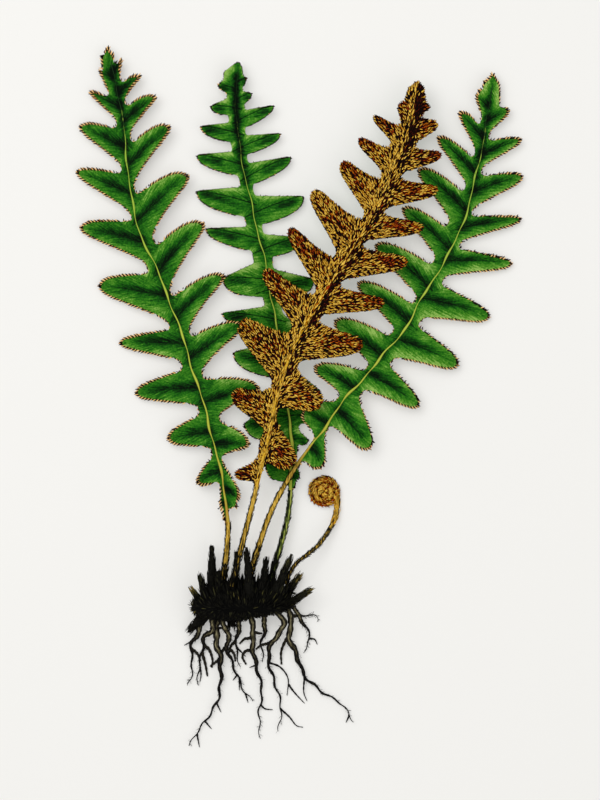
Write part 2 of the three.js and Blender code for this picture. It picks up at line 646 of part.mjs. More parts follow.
// The rootstock: a lumpy body with stubs and dark scales, holed for what grows out of it, and cut
// flat where it rests on the surface
function rootstock(holes) {
  const { centre, half } = ROOTSTOCK;
  const lump = new THREE.SphereGeometry(1, 14, 9);
  const position = lump.attributes.position;
  for (let i = 0; i < position.count; i += 1) {
    const p = new THREE.Vector3().fromBufferAttribute(position, i);
    const swell = 1 + 0.09 * Math.sin(5 * p.x + 2 * p.z) * Math.cos(4 * p.y);
    const [x, y, z] = ['x', 'y', 'z'].map((axis, k) => centre[k] + p[axis] * half[k] * swell);
    position.setXYZ(i, x, y, z);
  }
  const stubs = STUBS.map(([foot, tip, radius]) => {
    const curve = curveThrough([foot, tip]);
    return rod(curve, 0, 1, (t) => mix(radius, 0.3, t * t), 3, 5);
  });
  const scales = [];
  for (let i = 0; i < ROOTSTOCK.scales; i += 1) {
    const around = (i * 0.618034 % 1) * 2 * Math.PI;
    const along = mix(-0.95, 0.95, (i + 0.5) / ROOTSTOCK.scales);
    const ring = Math.sqrt(1 - along * along);
    const foot = vec([
      centre[0] + half[0] * along * 0.97,
      centre[1] + half[1] * ring * Math.cos(around) * 0.97,
      centre[2] + half[2] * ring * Math.sin(around) * 0.97,
    ]);
    const out = vec([along * 0.7, Math.cos(around), Math.sin(around) * 0.8]).normalize();
    const tip = foot.clone().addScaledVector(out, 1.2).add(vec([along * 1.2, foot.y > -2 ? 2 : -1.6, 0]));
    scales.push(scale(foot, tip, 1.3, 0.5, Math.sin(around) >= 0 ? 0.5 : -0.5));
  }
  const slab = new THREE.BoxGeometry(80, 80, 20).translate(0, 0, -10);
  let body = joined([solidFromGeometry(lump), ...stubs, ...scales]);
  for (const hole of [solidFromGeometry(slab), ...holes]) body = body.subtract(hole);
  const pieces = body.decompose();
  return pieces.reduce((best, piece) => (piece.volume() > best.volume() ? piece : best));
}

const fern = new THREE.Group();
const fronds = [LEFT, BACK, TURNED, RIGHT];
fronds.forEach(planFrond);

for (const frond of fronds) {
  const bladeTop = frond.turned ? COAT + GAP : 0;
  const coatTop = frond.turned ? 0 : BLADE + GAP;
  const blade = sheet(frond, bladeTop, bladeTop + BLADE, false);
  const coat = sheet(frond, coatTop, coatTop + COAT, !frond.turned);
  const bladeSolid = frond.turned ? blade : blade.add(midrib(frond));
  const coatSolid = frond.turned ? joined([coat, midrib(frond), ...coatScales(frond)]) : coat;
  fern.add(meshOf(`${frond.name}_blade`, bladeSolid, GREEN, 0.6));
  fern.add(meshOf(`${frond.name}_scales`, coatSolid, RUST, 0.8));
  fern.add(meshOf(`${frond.name}_stalk`, stalk(frond), OCHRE, 0.7));
}

fern.add(meshOf('crozier', crozier(), RUST, 0.8));

const holes = [
  ...fronds.map((frond) => stalk(frond, GAP)),
  rod(crozierCurve(), 0, 0.3, () => CROZIER.stalkRadius + GAP + 0.05, 8),
  ...ROOTS.map((root) => rod(rootCurve(root), 0, 0.5, () => root.radius + GAP, 8, 5)),
];
fern.add(meshOf('rhizome', rootstock(holes), BLACK, 0.9));

ROOTS.forEach((root, i) => {
  fern.add(meshOf(`root_${String(i + 1).padStart(2, '0')}`, rootSolid(root), ROOT_BROWN, 0.8));
});

export default fern;
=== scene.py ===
# %% [markdown]
# # A rustyback fern, lifted with its roots and laid on its back
#
# The plant lies on a pale sheet with four fronds, one young coiled frond, a black rootstock and
# eleven roots. The solid model already fixes the size and place of every piece. These cells put the
# finer piece in each place: leaves with veins, thousands of papery scales, and wiry roots.

import math

import bpy
import numpy as np
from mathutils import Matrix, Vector
from mathutils.geometry import delaunay_2d_cdt
from mathutils.kdtree import KDTree


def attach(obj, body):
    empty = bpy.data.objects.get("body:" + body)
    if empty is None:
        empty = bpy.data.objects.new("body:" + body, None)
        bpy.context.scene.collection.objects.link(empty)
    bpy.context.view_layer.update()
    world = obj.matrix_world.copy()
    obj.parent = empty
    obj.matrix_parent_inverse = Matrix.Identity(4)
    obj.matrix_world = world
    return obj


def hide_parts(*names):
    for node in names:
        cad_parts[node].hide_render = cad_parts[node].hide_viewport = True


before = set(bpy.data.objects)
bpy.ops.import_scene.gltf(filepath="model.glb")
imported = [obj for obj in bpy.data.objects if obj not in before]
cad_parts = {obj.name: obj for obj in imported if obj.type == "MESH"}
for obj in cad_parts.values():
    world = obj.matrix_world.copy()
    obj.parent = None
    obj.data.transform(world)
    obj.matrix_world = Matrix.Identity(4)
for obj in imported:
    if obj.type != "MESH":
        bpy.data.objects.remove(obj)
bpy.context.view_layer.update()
MM = 0.001
draw = np.random.default_rng(7)

# %% [markdown]
# ## The fronds as drawn
#
# A frond is a stalk that runs on as a midrib, with lobes to the left and right of it in turn. Each is
# written as the route of its midrib and, for every lobe from the foot up, the tip of the lobe and the
# notch above it. These are the same millimetres as in the solid model, so leaf, scales and stalk land
# where their solids are; only the ends of the fronds are a millimetre or so fuller. `edges` say how far
# the lower and the upper edge of a lobe draw in at its waist and how full they are near its tip, `bay`
# how wide the notches are, `crown` where the left and right shoulder of the frond's end lie, and
# `inset` how far inside the outline the green stops and the fringe shows.

# %% Routes, lobes and notches
LEFT = dict(
    name="left_frond", foot=19, lean=-0.1, turned=False, inset=0.55, bay=0.17,
    crown=((-35.7, 136), (-32.2, 136.4)),
    route=[(-5.2, 3, 5), (-4, 13, 4.6), (-3.8, 20, 4), (-6.5, 36, 3.4), (-13, 59, 3.2), (-19.2, 77, 3.1),
           (-26.8, 95, 3), (-29.1, 110, 2.8), (-30.6, 123, 2.4), (-34.2, 138.8, 2)],
    left_start=(-4.8, 20.5), left_edges=((0.5, 0.55), (0.4, 0.55)),
    left_lobes=[(-5.7, 23, -6.2, 28.5), (-11.5, 29.2, -8.2, 37), (-18.9, 40.2, -11.5, 47.5),
                (-27, 51.7, -15.8, 58.8), (-31, 64.3, -19, 68.8), (-36.2, 78.6, -24.5, 83.3),
                (-40.8, 93.3, -28.6, 96.3), (-41.8, 107.2, -31, 108.2), (-41, 118.6, -32.2, 119.5),
                (-38.5, 127.2, -34.2, 127.2), (-36.1, 132.2, -35.7, 133.3)],
    right_start=(-3.2, 22.6), right_edges=((0.75, 0.5), (0.12, 0.6)),
    right_lobes=[(-1, 25.2, -4.8, 35), (1.5, 38.8, -5.5, 45.5), (4, 53, -9.8, 56.5), (0, 68.8, -13, 67.2),
                 (-4.8, 81.2, -17.8, 77.2), (-9.8, 94.2, -22, 90.2), (-13.7, 106.2, -26.8, 103),
                 (-18.2, 118.4, -27.8, 116), (-21.8, 126, -29.2, 124.8), (-25.7, 131.2, -30.4, 130.5),
                 (-30.4, 135.3, -32, 134.8)],
)
BACK = dict(
    name="back_frond", foot=27, lean=0, turned=False, inset=0.1, bay=0.3,
    crown=((-4.8, 132.3), (-0.2, 133.2)),
    route=[(6.2, 3, 3), (9.2, 13, 3), (11.4, 22, 2.8), (12, 36, 2.3), (11.5, 48, 1.9), (8.2, 69, 1.75),
           (5.8, 83, 1.75), (2.8, 96, 1.8), (0.2, 107.5, 2), (-1.5, 118.5, 2.4), (-1.8, 126, 2.8),
           (-1.2, 134.9, 3.4)],
    left_start=(10.9, 29.5), left_edges=((-0.1, 1), (0.6, 0)),
    left_lobes=[(5.8, 34.5, 10.2, 40), (0.2, 44.2, 8.8, 53.8), (-2.2, 62.2, 6.8, 66.4),
                (-5.2, 72, 5.2, 74.8), (-5, 80.8, 2.4, 86), (-9.2, 93.2, 0.6, 94.8), (-11.5, 102.6, -1, 105),
                (-11.5, 111.6, -3, 113.6), (-10.5, 118.8, -3.7, 120.6), (-8, 123.9, -4.1, 126.4),
                (-6.1, 129.2, -4.9, 130.7)],
    right_start=(12.9, 28.5), right_edges=((-0.1, 1), (0.6, 0)),
    right_lobes=[(14.4, 31, 13.6, 37.8), (16.4, 40.2, 14, 43.2), (18.8, 53, 11.2, 61), (17, 66.5, 9.6, 73.8),
                 (17.6, 80.6, 7.4, 84.6), (14.5, 91, 4.9, 93), (14.9, 101.3, 2.6, 102.8),
                 (11.8, 111.2, 1.1, 110.6), (9.2, 117, 0.6, 117.4), (7.5, 124, 0.4, 123.6),
                 (1.9, 127.1, -0.1, 127.9), (0.7, 130.8, 0.1, 131.5)],
)
TURNED = dict(
    name="turned_frond", foot=28, lean=-0.04, turned=True, inset=0.3, bay=0.17,
    crown=((41.3, 128.1), (45.1, 128.4)),
    route=[(-3, 3, 8.6), (-0.2, 13.8, 9.2), (2.4, 24, 9.8), (5, 35, 10.2), (7, 43.5, 10.4), (8.2, 50, 10.4),
           (11.4, 60, 10.3), (16, 69.5, 10.1), (21.2, 78, 9.8), (27.8, 88, 9.4), (33.8, 98.5, 8.8),
           (38, 108.2, 8.2), (42.2, 119.8, 7.4), (43.5, 129.8, 6.8)],
    left_start=(2.6, 29.5), left_edges=((0.45, 0.8), (0.75, 0.6)),
    left_lobes=[(-2, 31.5, 3.8, 36.2), (4.2, 39.2, 5, 42.2), (-2.5, 51.8, 7, 53.8), (-0.5, 69.5, 11.8, 67.8),
                (5.5, 82.5, 17.8, 77), (11.7, 92.8, 22.8, 86.3), (17.6, 102.2, 29.8, 95.8),
                (24.7, 109.3, 34.4, 106), (29, 115.2, 36.8, 113.6), (32.7, 121, 39.2, 119),
                (38.9, 123.6, 40.3, 124.9)],
    right_start=(5.8, 34), right_edges=((0.4, 0.8), (0.6, 0.6)),
    right_lobes=[(13, 34.4, 8.8, 46.8), (19.8, 49.4, 14, 58.5), (29.8, 63.8, 19.5, 70.2),
                 (35.2, 74.2, 24.5, 79), (41, 84.5, 30.2, 88.8), (45, 93, 35.6, 97),
                 (48.6, 102.5, 39.8, 105.8), (49.5, 111.2, 43.2, 113.5), (48.5, 119, 44.8, 121),
                 (46.7, 123.1, 45.8, 124.5)],
)
RIGHT = dict(
    name="right_frond", foot=33, lean=0.06, turned=False, inset=0.55, bay=0.17,
    crown=((60, 129.4), (64.6, 129)),
    route=[(1, 3, 5), (3.5, 12, 5.2), (7.2, 22.5, 5.3), (13, 33, 5.4), (18.8, 41, 5.2), (25.8, 50.5, 4.8),
           (34, 60, 4.3), (40, 67.2, 3.8), (45, 75.8, 3.2), (49.8, 83.8, 2.8), (53.4, 90.2, 2.6),
           (56.2, 97.8, 2.5), (58.5, 107, 2.4), (60.4, 116, 2.4), (62.9, 132.2, 2.2)],
    left_start=(17.4, 40.8), left_edges=((0.6, 0.75), (0.15, 0.55)),
    left_lobes=[(15, 47.5, 23.4, 50.8), (18, 58.5, 30.6, 58.4), (23, 70, 37, 67.2), (28.8, 79.5, 42.8, 75.2),
                (33.2, 89, 47.4, 85.2), (40, 98.2, 51, 94.5), (44, 108, 55.2, 103.5), (48.8, 116, 57.6, 112),
                (54.2, 122.2, 59.2, 120.2), (58.3, 126.4, 59.6, 128.4)],
    right_start=(15.2, 34.4), right_edges=((0.5, 0.7), (0.42, 0.55)),
    right_lobes=[(19.8, 33, 21.6, 42.6), (32, 37.8, 30, 51.5), (44.2, 48.5, 37.6, 59.6),
                 (54.1, 58.8, 44.8, 69.5), (61.9, 70.9, 50.6, 80), (67.5, 84.3, 54.8, 89),
                 (69.8, 95.5, 57.8, 97.2), (70.2, 106.2, 60.2, 107.5), (69.8, 115.4, 62, 116.2),
                 (66.8, 122.5, 64.8, 124.3)],
)
FRONDS = [LEFT, BACK, TURNED, RIGHT]
print("lobes:", {f["name"]: len(f["left_lobes"]) + len(f["right_lobes"]) for f in FRONDS})

# %% [markdown]
# ## Smooth lines from a few points
#
# A stem never bends at a corner. Blender could draw these as curve objects, but the leaf needs the
# same line as plain numbers, to measure from. So one function runs a centripetal spline through the
# given points, which never loops or overshoots, and another spaces points evenly along it.

# %% Lines
RIB_POINTS = 401


def travelled(line):
    """How far along the plan each point of a line is from its start."""
    return np.concatenate([[0], np.cumsum(np.linalg.norm(np.diff(line[:, :2], axis=0), axis=1))])


def evenly(line, count):
    """The same line as evenly spaced points."""
    far = travelled(line)
    spots = np.linspace(0, far[-1], count)
    return np.column_stack([np.interp(spots, far, column) for column in line.T])


def unit(vectors):
    """Each vector at length 1."""
    return vectors / np.maximum(np.linalg.norm(vectors, axis=-1, keepdims=True), 1e-9)


def left_of(ways):
    """Directions on the plan turned a quarter to the left."""
    return np.column_stack([-ways[:, 1], ways[:, 0]])


def smooth_line(points, count):
    """Evenly spaced points on a centripetal spline through a few."""
    p = np.array(points, float)
    p = np.vstack([2 * p[0] - p[1], p, 2 * p[-1] - p[-2]])
    t = np.linspace(0, 1, 24, endpoint=False)[:, None]
    spans = []
    for a, b, c, d in zip(p, p[1:], p[2:], p[3:]):
        ab, bc, cd = (max(np.linalg.norm(v), 1e-6) ** 0.5 for v in (b - a, c - b, d - c))
        leave = ((b - a) / ab - (c - a) / (ab + bc) + (c - b) / bc) * bc
        arrive = ((c - b) / bc - (d - b) / (bc + cd) + (d - c) / cd) * bc
        spans.append(b + leave * t + (3 * (c - b) - 2 * leave - arrive) * t**2
                     + (2 * (b - c) + leave + arrive) * t**3)
    return evenly(np.vstack([*spans, p[-2:-1]]), count)


def nearest_of(cloud, spots):
    """For each spot on the plan: which point of the cloud is nearest, and how far it is."""
    tree = KDTree(len(cloud))
    for number, point in enumerate(cloud):
        tree.insert((point[0], point[1], 0), number)
    tree.balance()
    found = [tree.find((spot[0], spot[1], 0)) for spot in spots]
    return np.array([f[1] for f in found]), np.array([f[2] for f in found])


rib_length = np.linalg.norm(np.diff(smooth_line(RIGHT["route"], RIB_POINTS), axis=0), axis=1).sum()
print("right stalk and midrib together, mm:", round(rib_length, 1))

# %% [markdown]
# ## The outline of a blade
#
# The margin runs out along the lower edge of a lobe, round its tip, back along the upper edge and
# round the notch to the next. Each edge is one cubic Bezier: its first handle pulls the lobe in at the
# waist, and its second keeps it full near the tip. The notches of the real leaf are round bays, about a
# sixth as wide as a lobe and wider on the young back frond, so the two edges start that far apart. Then
# the whole outline is softened by a small moving average, which also rounds the tips.

# %% Outline and veins
VEIN_POINTS = 60
OUTLINE_STEP = 0.2
ROUNDING = 0.45
EDGE_FOLD = ([0, 0.36, 0.7, 1], [0.5, 1, 1, 0.6])


def lobe_edge(below, above, tip, upper, shares):
    """One edge of a lobe from notch to tip, as x, y and how far it is folded up there."""
    below, above, tip = (np.array(spot, float) for spot in (below, above, tip))
    notch = above if upper else below
    middle = (above + below) / 2
    axis = tip - middle
    out = notch - middle
    across = out - axis * (out @ axis) / (axis @ axis)
    waist, fullness = shares
    handle, last = notch + 0.5 * axis - waist * across, tip + fullness * across
    t = np.linspace(0, 1, 25)[:, None]
    line = notch * (1 - t)**3 + 3 * handle * t * (1 - t)**2 + 3 * last * t * t * (1 - t) + tip * t**3
    return np.column_stack([line, np.interp(t[:, 0], *EDGE_FOLD)])


def soften(loop, width):
    """A closed, evenly spaced loop with its corners rounded to about a width."""
    step = np.linalg.norm(loop[1, :2] - loop[0, :2])
    reach = int(3 * width / step)
    weights = np.exp(-0.5 * (np.arange(-reach, reach + 1) * step / width)**2)
    wrapped = np.vstack([loop[-reach:], loop, loop[:reach]])
    return np.column_stack([np.convolve(c, weights / weights.sum(), "valid") for c in wrapped.T])


def lay_out(frond):
    """Works out the midrib, the midvein of every lobe and the outline of the blade."""
    rib = smooth_line(frond["route"], RIB_POINTS)
    along = unit(np.gradient(rib, axis=0))
    foot = int(np.argmax(rib[:, 1] > frond["foot"]))
    sides, veins = [], []
    for hand, side in ((1, "left"), (-1, "right")):
        notch = below = np.array(frond[side + "_start"], float)
        low_edge, high_edge = frond[side + "_edges"]
        pieces = []
        for tip_x, tip_y, notch_x, notch_y in frond[side + "_lobes"]:
            tip, next_notch = np.array((tip_x, tip_y), float), np.array((notch_x, notch_y), float)
            (low, high), _ = nearest_of(rib, [notch, next_notch])
            start = int(round(low + 0.42 * (high - low)))
            root, ahead = rib[start, :2], along[start, :2]
            half_gap = ahead * frond["bay"] / 2 * np.linalg.norm(next_notch - notch)
            above = next_notch - half_gap
            pieces.append(lobe_edge(below, above, tip, False, low_edge))
            pieces.append(lobe_edge(below, above, tip, True, high_edge)[::-1])
            bow = (root + tip) / 2 + ahead * 0.05 * np.linalg.norm(tip - root)
            t = np.linspace(0, 1, VEIN_POINTS)[:, None]
            line = root * (1 - t)**2 + 2 * bow * t * (1 - t) + tip * t * t
            veins.append((evenly(line, VEIN_POINTS), hand))
            notch, below = next_notch, next_notch + half_gap * 0.8
        pieces.append([[*frond["crown"][hand < 0], 0.8]])
        sides.append(np.vstack(pieces))
    loop = np.vstack([sides[0], [[*rib[-1, :2], 0.3]], sides[1][::-1], [[*rib[foot, :2], 0.1]]])
    loop = np.vstack([loop, loop[:1]])
    length = np.linalg.norm(np.diff(loop[:, :2], axis=0), axis=1).sum()
    outline = soften(evenly(loop, int(length / OUTLINE_STEP))[:-1], ROUNDING)
    frond.update(rib=rib, along=along, foot_at=foot, veins=veins, outline=outline, margin=length)


for frond in FRONDS:
    lay_out(frond)
    print(frond["name"], "margin, mm:", round(frond["margin"]), "veins:", len(frond["veins"]))

# %% [markdown]
# ## Where a spot lies on its frond
#
# Height, colour and the lie of the scales all depend on where a spot is: how far it is from the
# midrib, how far out along its lobe, on the upper or lower half of it, and how close to the margin.
# This is measured once for any list of spots. A blade droops to both sides of its midrib, and each
# lobe is folded a little along its midvein, so its margins stand highest.

# %% Fields over a frond
DROOP = 0.004
FOLD = 0.8
STACK = 1.55


def survey(frond, spots):
    """Everything a spot on the plan needs to know about its place on the frond, in mm."""
    rib, along = frond["rib"], frond["along"]
    place, from_rib = nearest_of(rib, spots)
    away = spots - rib[place, :2]
    offset = away[:, 1] * along[place, 0] - away[:, 0] * along[place, 1]
    lines, hands = (np.array(part) for part in zip(*frond["veins"]))
    cloud = lines.reshape(-1, 2)
    hit, from_vein = nearest_of(cloud, spots)
    lobe, step = hit // VEIN_POINTS, hit % VEIN_POINTS
    lengths = np.linalg.norm(np.diff(lines, axis=1), axis=2).sum(axis=1)
    course = unit(np.gradient(lines, axis=1))[lobe, step]
    away = spots - cloud[hit]
    side = (course[:, 0] * away[:, 1] - course[:, 1] * away[:, 0]) * -hands[lobe]
    share = step / (VEIN_POINTS - 1) + np.sum(course * away, axis=1) / lengths[lobe]
    edge, from_edge = nearest_of(frond["outline"], spots)
    near = np.minimum(from_rib, from_vein)
    rise = near / np.maximum(near + from_edge, 1e-6)
    fold = rise**1.2 * frond["outline"][edge, 2]
    height = rib[place, 2] + frond["lean"] * offset - DROOP * offset**2
    return dict(lobe=lobe, hand=hands[lobe], share=share, run=share * lengths[lobe], across=np.abs(side),
                upper=np.sign(side), course=course, from_rib=from_rib, from_edge=from_edge, offset=offset,
                up_the_rib=place / (RIB_POINTS - 1), along=along[place, :2],
                height=np.maximum(height + FOLD * fold * (-1 if frond["turned"] else 1), STACK))


print("margin of the left frond, mm up:", survey(LEFT, LEFT["outline"][::900, :2])["height"].round(2))

# %% [markdown]
# ## Pieces and their numbers
#
# Each piece is gathered from shells: closed little bodies such as a blade, a rod or a few thousand
# scales. A shell is its points in millimetres, its triangles, the numbers that its finish reads at each
# point, and which finish it wears. One function turns a list of shells into a Blender object, sets it
# riding on the plant and hides the solid that it stands for.


# %% Shells and pieces
def new_object(name, data):
    """A new object in the scene."""
    made = bpy.data.objects.new(name, data)
    bpy.context.scene.collection.objects.link(made)
    return made


def shell(points, faces, finish=0, smooth=True, **numbers):
    """A closed body, which of its piece's finishes it wears, and what that reads at each point."""
    return dict(points=np.asarray(points, float), faces=np.asarray(faces, int), finish=finish,
                smooth=smooth, numbers=numbers)


def make_piece(name, shells, finishes, node):
    """One object from shells, riding on the plant in place of a solid."""
    starts = np.cumsum([0] + [len(s["points"]) for s in shells])
    points = np.vstack([s["points"] for s in shells]) * MM
    faces = np.vstack([s["faces"] + start for s, start in zip(shells, starts)])
    mesh = bpy.data.meshes.new(name)
    mesh.from_pydata(points.tolist(), [], faces.tolist())
    mesh.polygons.foreach_set("material_index", np.concatenate(
        [np.full(len(s["faces"]), s["finish"]) for s in shells]))
    mesh.polygons.foreach_set("use_smooth", np.concatenate(
        [np.full(len(s["faces"]), s["smooth"]) for s in shells]))
    for label in sorted({key for s in shells for key in s["numbers"]}):
        wide = any(np.ndim(s["numbers"].get(label, 0)) == 2 for s in shells)
        layer = mesh.attributes.new(label, "FLOAT_VECTOR" if wide else "FLOAT", "POINT")
        shape = (3,) if wide else ()
        values = [np.broadcast_to(s["numbers"].get(label, 0.0), (len(s["points"]), *shape)) for s in shells]
        flat = np.concatenate(values).astype(np.float32).ravel()
        layer.data.foreach_set("vector" if wide else "value", flat)
    mesh.set_sharp_from_angle(angle=math.radians(55))
    piece = new_object(name, mesh)
    for finish in finishes:
        mesh.materials.append(finish)
    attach(piece, "root")
    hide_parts(node)
    print(f"{name}: {len(faces)} triangles")


# %% [markdown]
# ## Finishes: colours and nodes
#
# Colours are written as they look on a screen, in hex, and turned once into the linear light that
# Blender mixes in. One small function adds a node with its settings and links, one fills in a node that
# is already there, and one works patterns into a tone, so that each finish below reads as a short list
# of what it is made of.


# %% Colour and node helpers
def linear(hex_colour):
    """A screen colour such as 2F8F22 as linear RGBA."""
    parts = [int(hex_colour[i:i + 2], 16) / 255 for i in (0, 2, 4)]
    return (*[p / 12.92 if p <= 0.04045 else ((p + 0.055) / 1.055)**2.4 for p in parts], 1)


def fill(finish, node, inputs):
    """Sets each input of a node to a value, or links it to another node's output."""
    for key, value in inputs.items():
        if isinstance(value, bpy.types.NodeSocket):
            finish.node_tree.links.new(value, node.inputs[key])
        else:
            node.inputs[key].default_value = value


def add(finish, kind, inputs=(), out=0, stops=(), **settings):
    """Adds a node with its settings, inputs and colour stops, and hands back one of its outputs."""
    node = finish.node_tree.nodes.new("ShaderNode" + kind)
    for key, value in settings.items():
        setattr(node, key, value)
    fill(finish, node, dict(inputs))
    for number, (position, colour) in enumerate(stops):
        ramp = node.color_ramp.elements
        stop = ramp[number] if number < 2 else ramp.new(position)
        stop.position, stop.color = position, linear(colour)
    return node.outputs[out]


def new_finish(name):
    """An empty finish and its surface shader."""
    finish = bpy.data.materials.new(name)
    finish.use_nodes = True
    return finish, finish.node_tree.nodes["Principled BSDF"]


def mottle(finish, tone, *patterns):
    """A tone with patterns worked into it, each given with how far it swings the tone in all."""
    for pattern, swing in patterns:
        centred = add(finish, "Math", {0: pattern, 1: swing, 2: -swing / 2}, operation="MULTIPLY_ADD")
        tone = add(finish, "Math", {0: tone, 1: centred}, operation="ADD")
    return tone


print("leaf green in linear light:", [round(v, 3) for v in linear("2F8F22")[:3]])

# %% [markdown]
# ## Leaf: a leathery green with painted shade in its folds
#
# The upper side of this fern is a thick dry leaf with a satin skin. Its green carries painted shade,
# darkest in the fold along each midvein, in a thin line on the midvein and beside the midrib, and a
# painted highlight that pales it to yellow green at the margins. Fine strokes fan out from the midvein
# like the veins under the skin. The numbers kept on the mesh say where the folds are, and so where the
# painted shade and highlight go, and a noise stretched along the veins draws the strokes, about a third
# of a millimetre apart and wider than life so that it shows. Blotches and a fine grain keep the green
# from being even. The midrib is lime and dark green near the tip of the frond, with painted shade along
# its sides.

# %% Leaf finish
STROKE = 0.3
STROKE_LENGTH = 3.4
BLOTCH = 5
GRAIN = 0.42
VEIN_LEAN = 3.2
MIDVEIN = 0.2
FLECK = 1.2
leaf_skin, skin = new_finish("leathery_leaf_skin")
vein_map = add(leaf_skin, "Attribute", out="Vector", attribute_name="vein_map")
# shade is the leaf's own green with painted shade in its folds and beside the midrib, and painted highlight
# at its margins.
shade, from_vein, crease = (
    add(leaf_skin, "Attribute", out="Fac", attribute_name=key) for key in ("shade", "from_vein", "crease"))
stroke_space = add(leaf_skin, "Mapping", {
    "Vector": vein_map, "Scale": (1 / (STROKE * math.hypot(1, VEIN_LEAN)), 1 / STROKE_LENGTH, 1)})
strokes = add(leaf_skin, "TexNoise", {
    "Vector": stroke_space, "Scale": 1.0, "Detail": 4.0, "Roughness": 0.75})
place = add(leaf_skin, "TexCoord", out="Object")
blotches, grain = (
    add(leaf_skin, "TexNoise", {
        "Vector": place, "Scale": 1 / (size * MM), "Detail": detail, "Roughness": 0.6})
    for size, detail in ((BLOTCH, 4.0), (GRAIN, 1.0)))
# Painted shade: a thin dark line along each midvein, as in its groove.
beside = add(leaf_skin, "Math", {0: from_vein}, operation="ABSOLUTE")
on_vein = add(leaf_skin, "MapRange", {
    "Value": beside, "From Min": 0.3 * MIDVEIN, "From Max": MIDVEIN, "To Min": 1.0, "To Max": 0.0})
veined = add(leaf_skin, "Math", {0: on_vein, 1: crease, 2: shade}, operation="MULTIPLY_ADD")
tone = mottle(leaf_skin, veined, (strokes, 1.35), (blotches, 0.7), (grain, 0.5))
greens = add(leaf_skin, "ValToRGB", {0: tone}, stops=[
    (0.0, "050F06"), (1.0, "93B95A"), (0.16, "0A230A"), (0.34, "103F0D"), (0.5, "1C5E12"), (0.66, "34781A"),
    (0.82, "558F2A")])
leaf_bump = add(leaf_skin, "Bump", {"Height": strokes, "Strength": 0.6, "Distance": 0.15 * MM})
fill(leaf_skin, skin, {
    "Base Color": greens, "Normal": leaf_bump, "Roughness": 0.6, "Specular IOR Level": 0.02})

midrib_skin, skin = new_finish("lime_midrib")
place = add(midrib_skin, "TexCoord", out="Object")
flecks = add(midrib_skin, "TexNoise", {"Vector": place, "Scale": 1 / (FLECK * MM), "Detail": 2.0})
way, side, rim = (
    add(midrib_skin, "Attribute", out="Fac", attribute_name=key) for key in ("way", "side", "rim"))
limes = add(midrib_skin, "ValToRGB", {0: mottle(midrib_skin, way, (flecks, 0.3))}, stops=[
    (0.0, "BC9432"), (1.0, "0E2A0A"), (0.04, "B89E36"), (0.1, "B6B63C"), (0.4, "B4C444"), (0.8, "94B63A"),
    (0.88, "163C0E")])
# Painted shade: the midrib turns dark green along both flanks, as strongly as rim says.
round_side = add(midrib_skin, "Math", {0: side}, operation="ABSOLUTE")
flank_shade_band = add(midrib_skin, "MapRange", {
    "Value": round_side, "From Min": 0.5, "From Max": 0.9, "To Min": 0.0, "To Max": 1.0})
rim_shade = add(midrib_skin, "Math", {0: flank_shade_band, 1: rim}, operation="MULTIPLY")
flank_shaded_limes = add(midrib_skin, "Mix", {0: rim_shade, 6: limes, 7: linear("10260A")}, out=2, data_type="RGBA")
fill(midrib_skin, skin, {"Base Color": flank_shaded_limes, "Roughness": 0.55, "Specular IOR Level": 0.12})
print("leaf finish nodes:", len(leaf_skin.node_tree.nodes))

# %% [markdown]
# ## Green blades
#
# A blade could be a flat outline with a subdivision modifier, but that gives no say over where the
# points fall. Instead the outline and an even triangular grid inside it are joined by a Delaunay
# triangulation, every point is lifted to its height, and the same triangles are used below for the
# other face. The blade is 0.38 mm thick. Between its side veins the skin swells a little, as quilting.

# %% Blade builder
LEAF = 0.38
GRID = 0.55
QUILT = 0.07
QUILT_PITCH = 2.3
COAT_OVER_LEAF = 0.95
# Painted highlight: lobes pale towards their margins, more on one half than the other.
PALE = {  # how much paler the upper and lower halves of the left and of the right lobes get outwards
    "left_frond": (0.08, 0.18, 0.3, 0.16),
    "back_frond": (0.34, 0.06, 0.34, 0.1),
    "turned_frond": (0.1, 0.1, 0.1, 0.1),
    "right_frond": (0.3, 0.16, 0.14, 0.3),
}
# How dark the painted shade along each midvein is, frond by frond.
MIDVEIN_SHADE_DEPTH = {"left_frond": 0.14, "back_frond": 0.4, "turned_frond": 0.1, "right_frond": 0.2}
LIGHTNESS = {"left_frond": 0.53, "back_frond": 0.58, "turned_frond": 0.53, "right_frond": 0.585}


def inside_grid(outline, step):
    """Points of an even triangular grid inside an outline."""
    a, b = outline[:, :2], np.roll(outline[:, :2], -1, axis=0)
    low, high = a.min(axis=0), a.max(axis=0)
    spots = []
    for row, y in enumerate(np.arange(low[1], high[1], step * math.sqrt(0.75))):
        cut = (a[:, 1] > y) != (b[:, 1] > y)
        start, end = a[cut], b[cut]
        crossings = np.sort(start[:, 0] + (y - start[:, 1]) / (end[:, 1] - start[:, 1]) * (end - start)[:, 0])
        columns = np.arange(low[0] + step / 2 * (row % 2), high[0], step)
        for x0, x1 in zip(crossings[::2], crossings[1::2]):
            spots += [(x, y) for x in columns[(columns > x0) & (columns < x1)]]
    return np.array(spots)


def inside(outline, spots):
    """Which spots lie inside an outline."""
    a, b = outline[:, :2], np.roll(outline[:, :2], -1, axis=0)
    height = spots[:, 1:2]
    cut = (a[:, 1] > height) != (b[:, 1] > height)
    climb = np.where(a[:, 1] == b[:, 1], 1, b[:, 1] - a[:, 1])
    crossing = a[:, 0] + (height - a[:, 1]) / climb * (b[:, 0] - a[:, 0])
    return np.sum(cut & (crossing > spots[:, :1]), axis=1) % 2 == 1


def pulled_in(outline, distance):
    """An outline moved inwards; it runs with the blade on its right-hand side."""
    ahead = unit(np.roll(outline[:, :2], -3, axis=0) - np.roll(outline[:, :2], 3, axis=0))
    return np.column_stack([outline[:, :2] - left_of(ahead) * distance, outline[:, 2]])


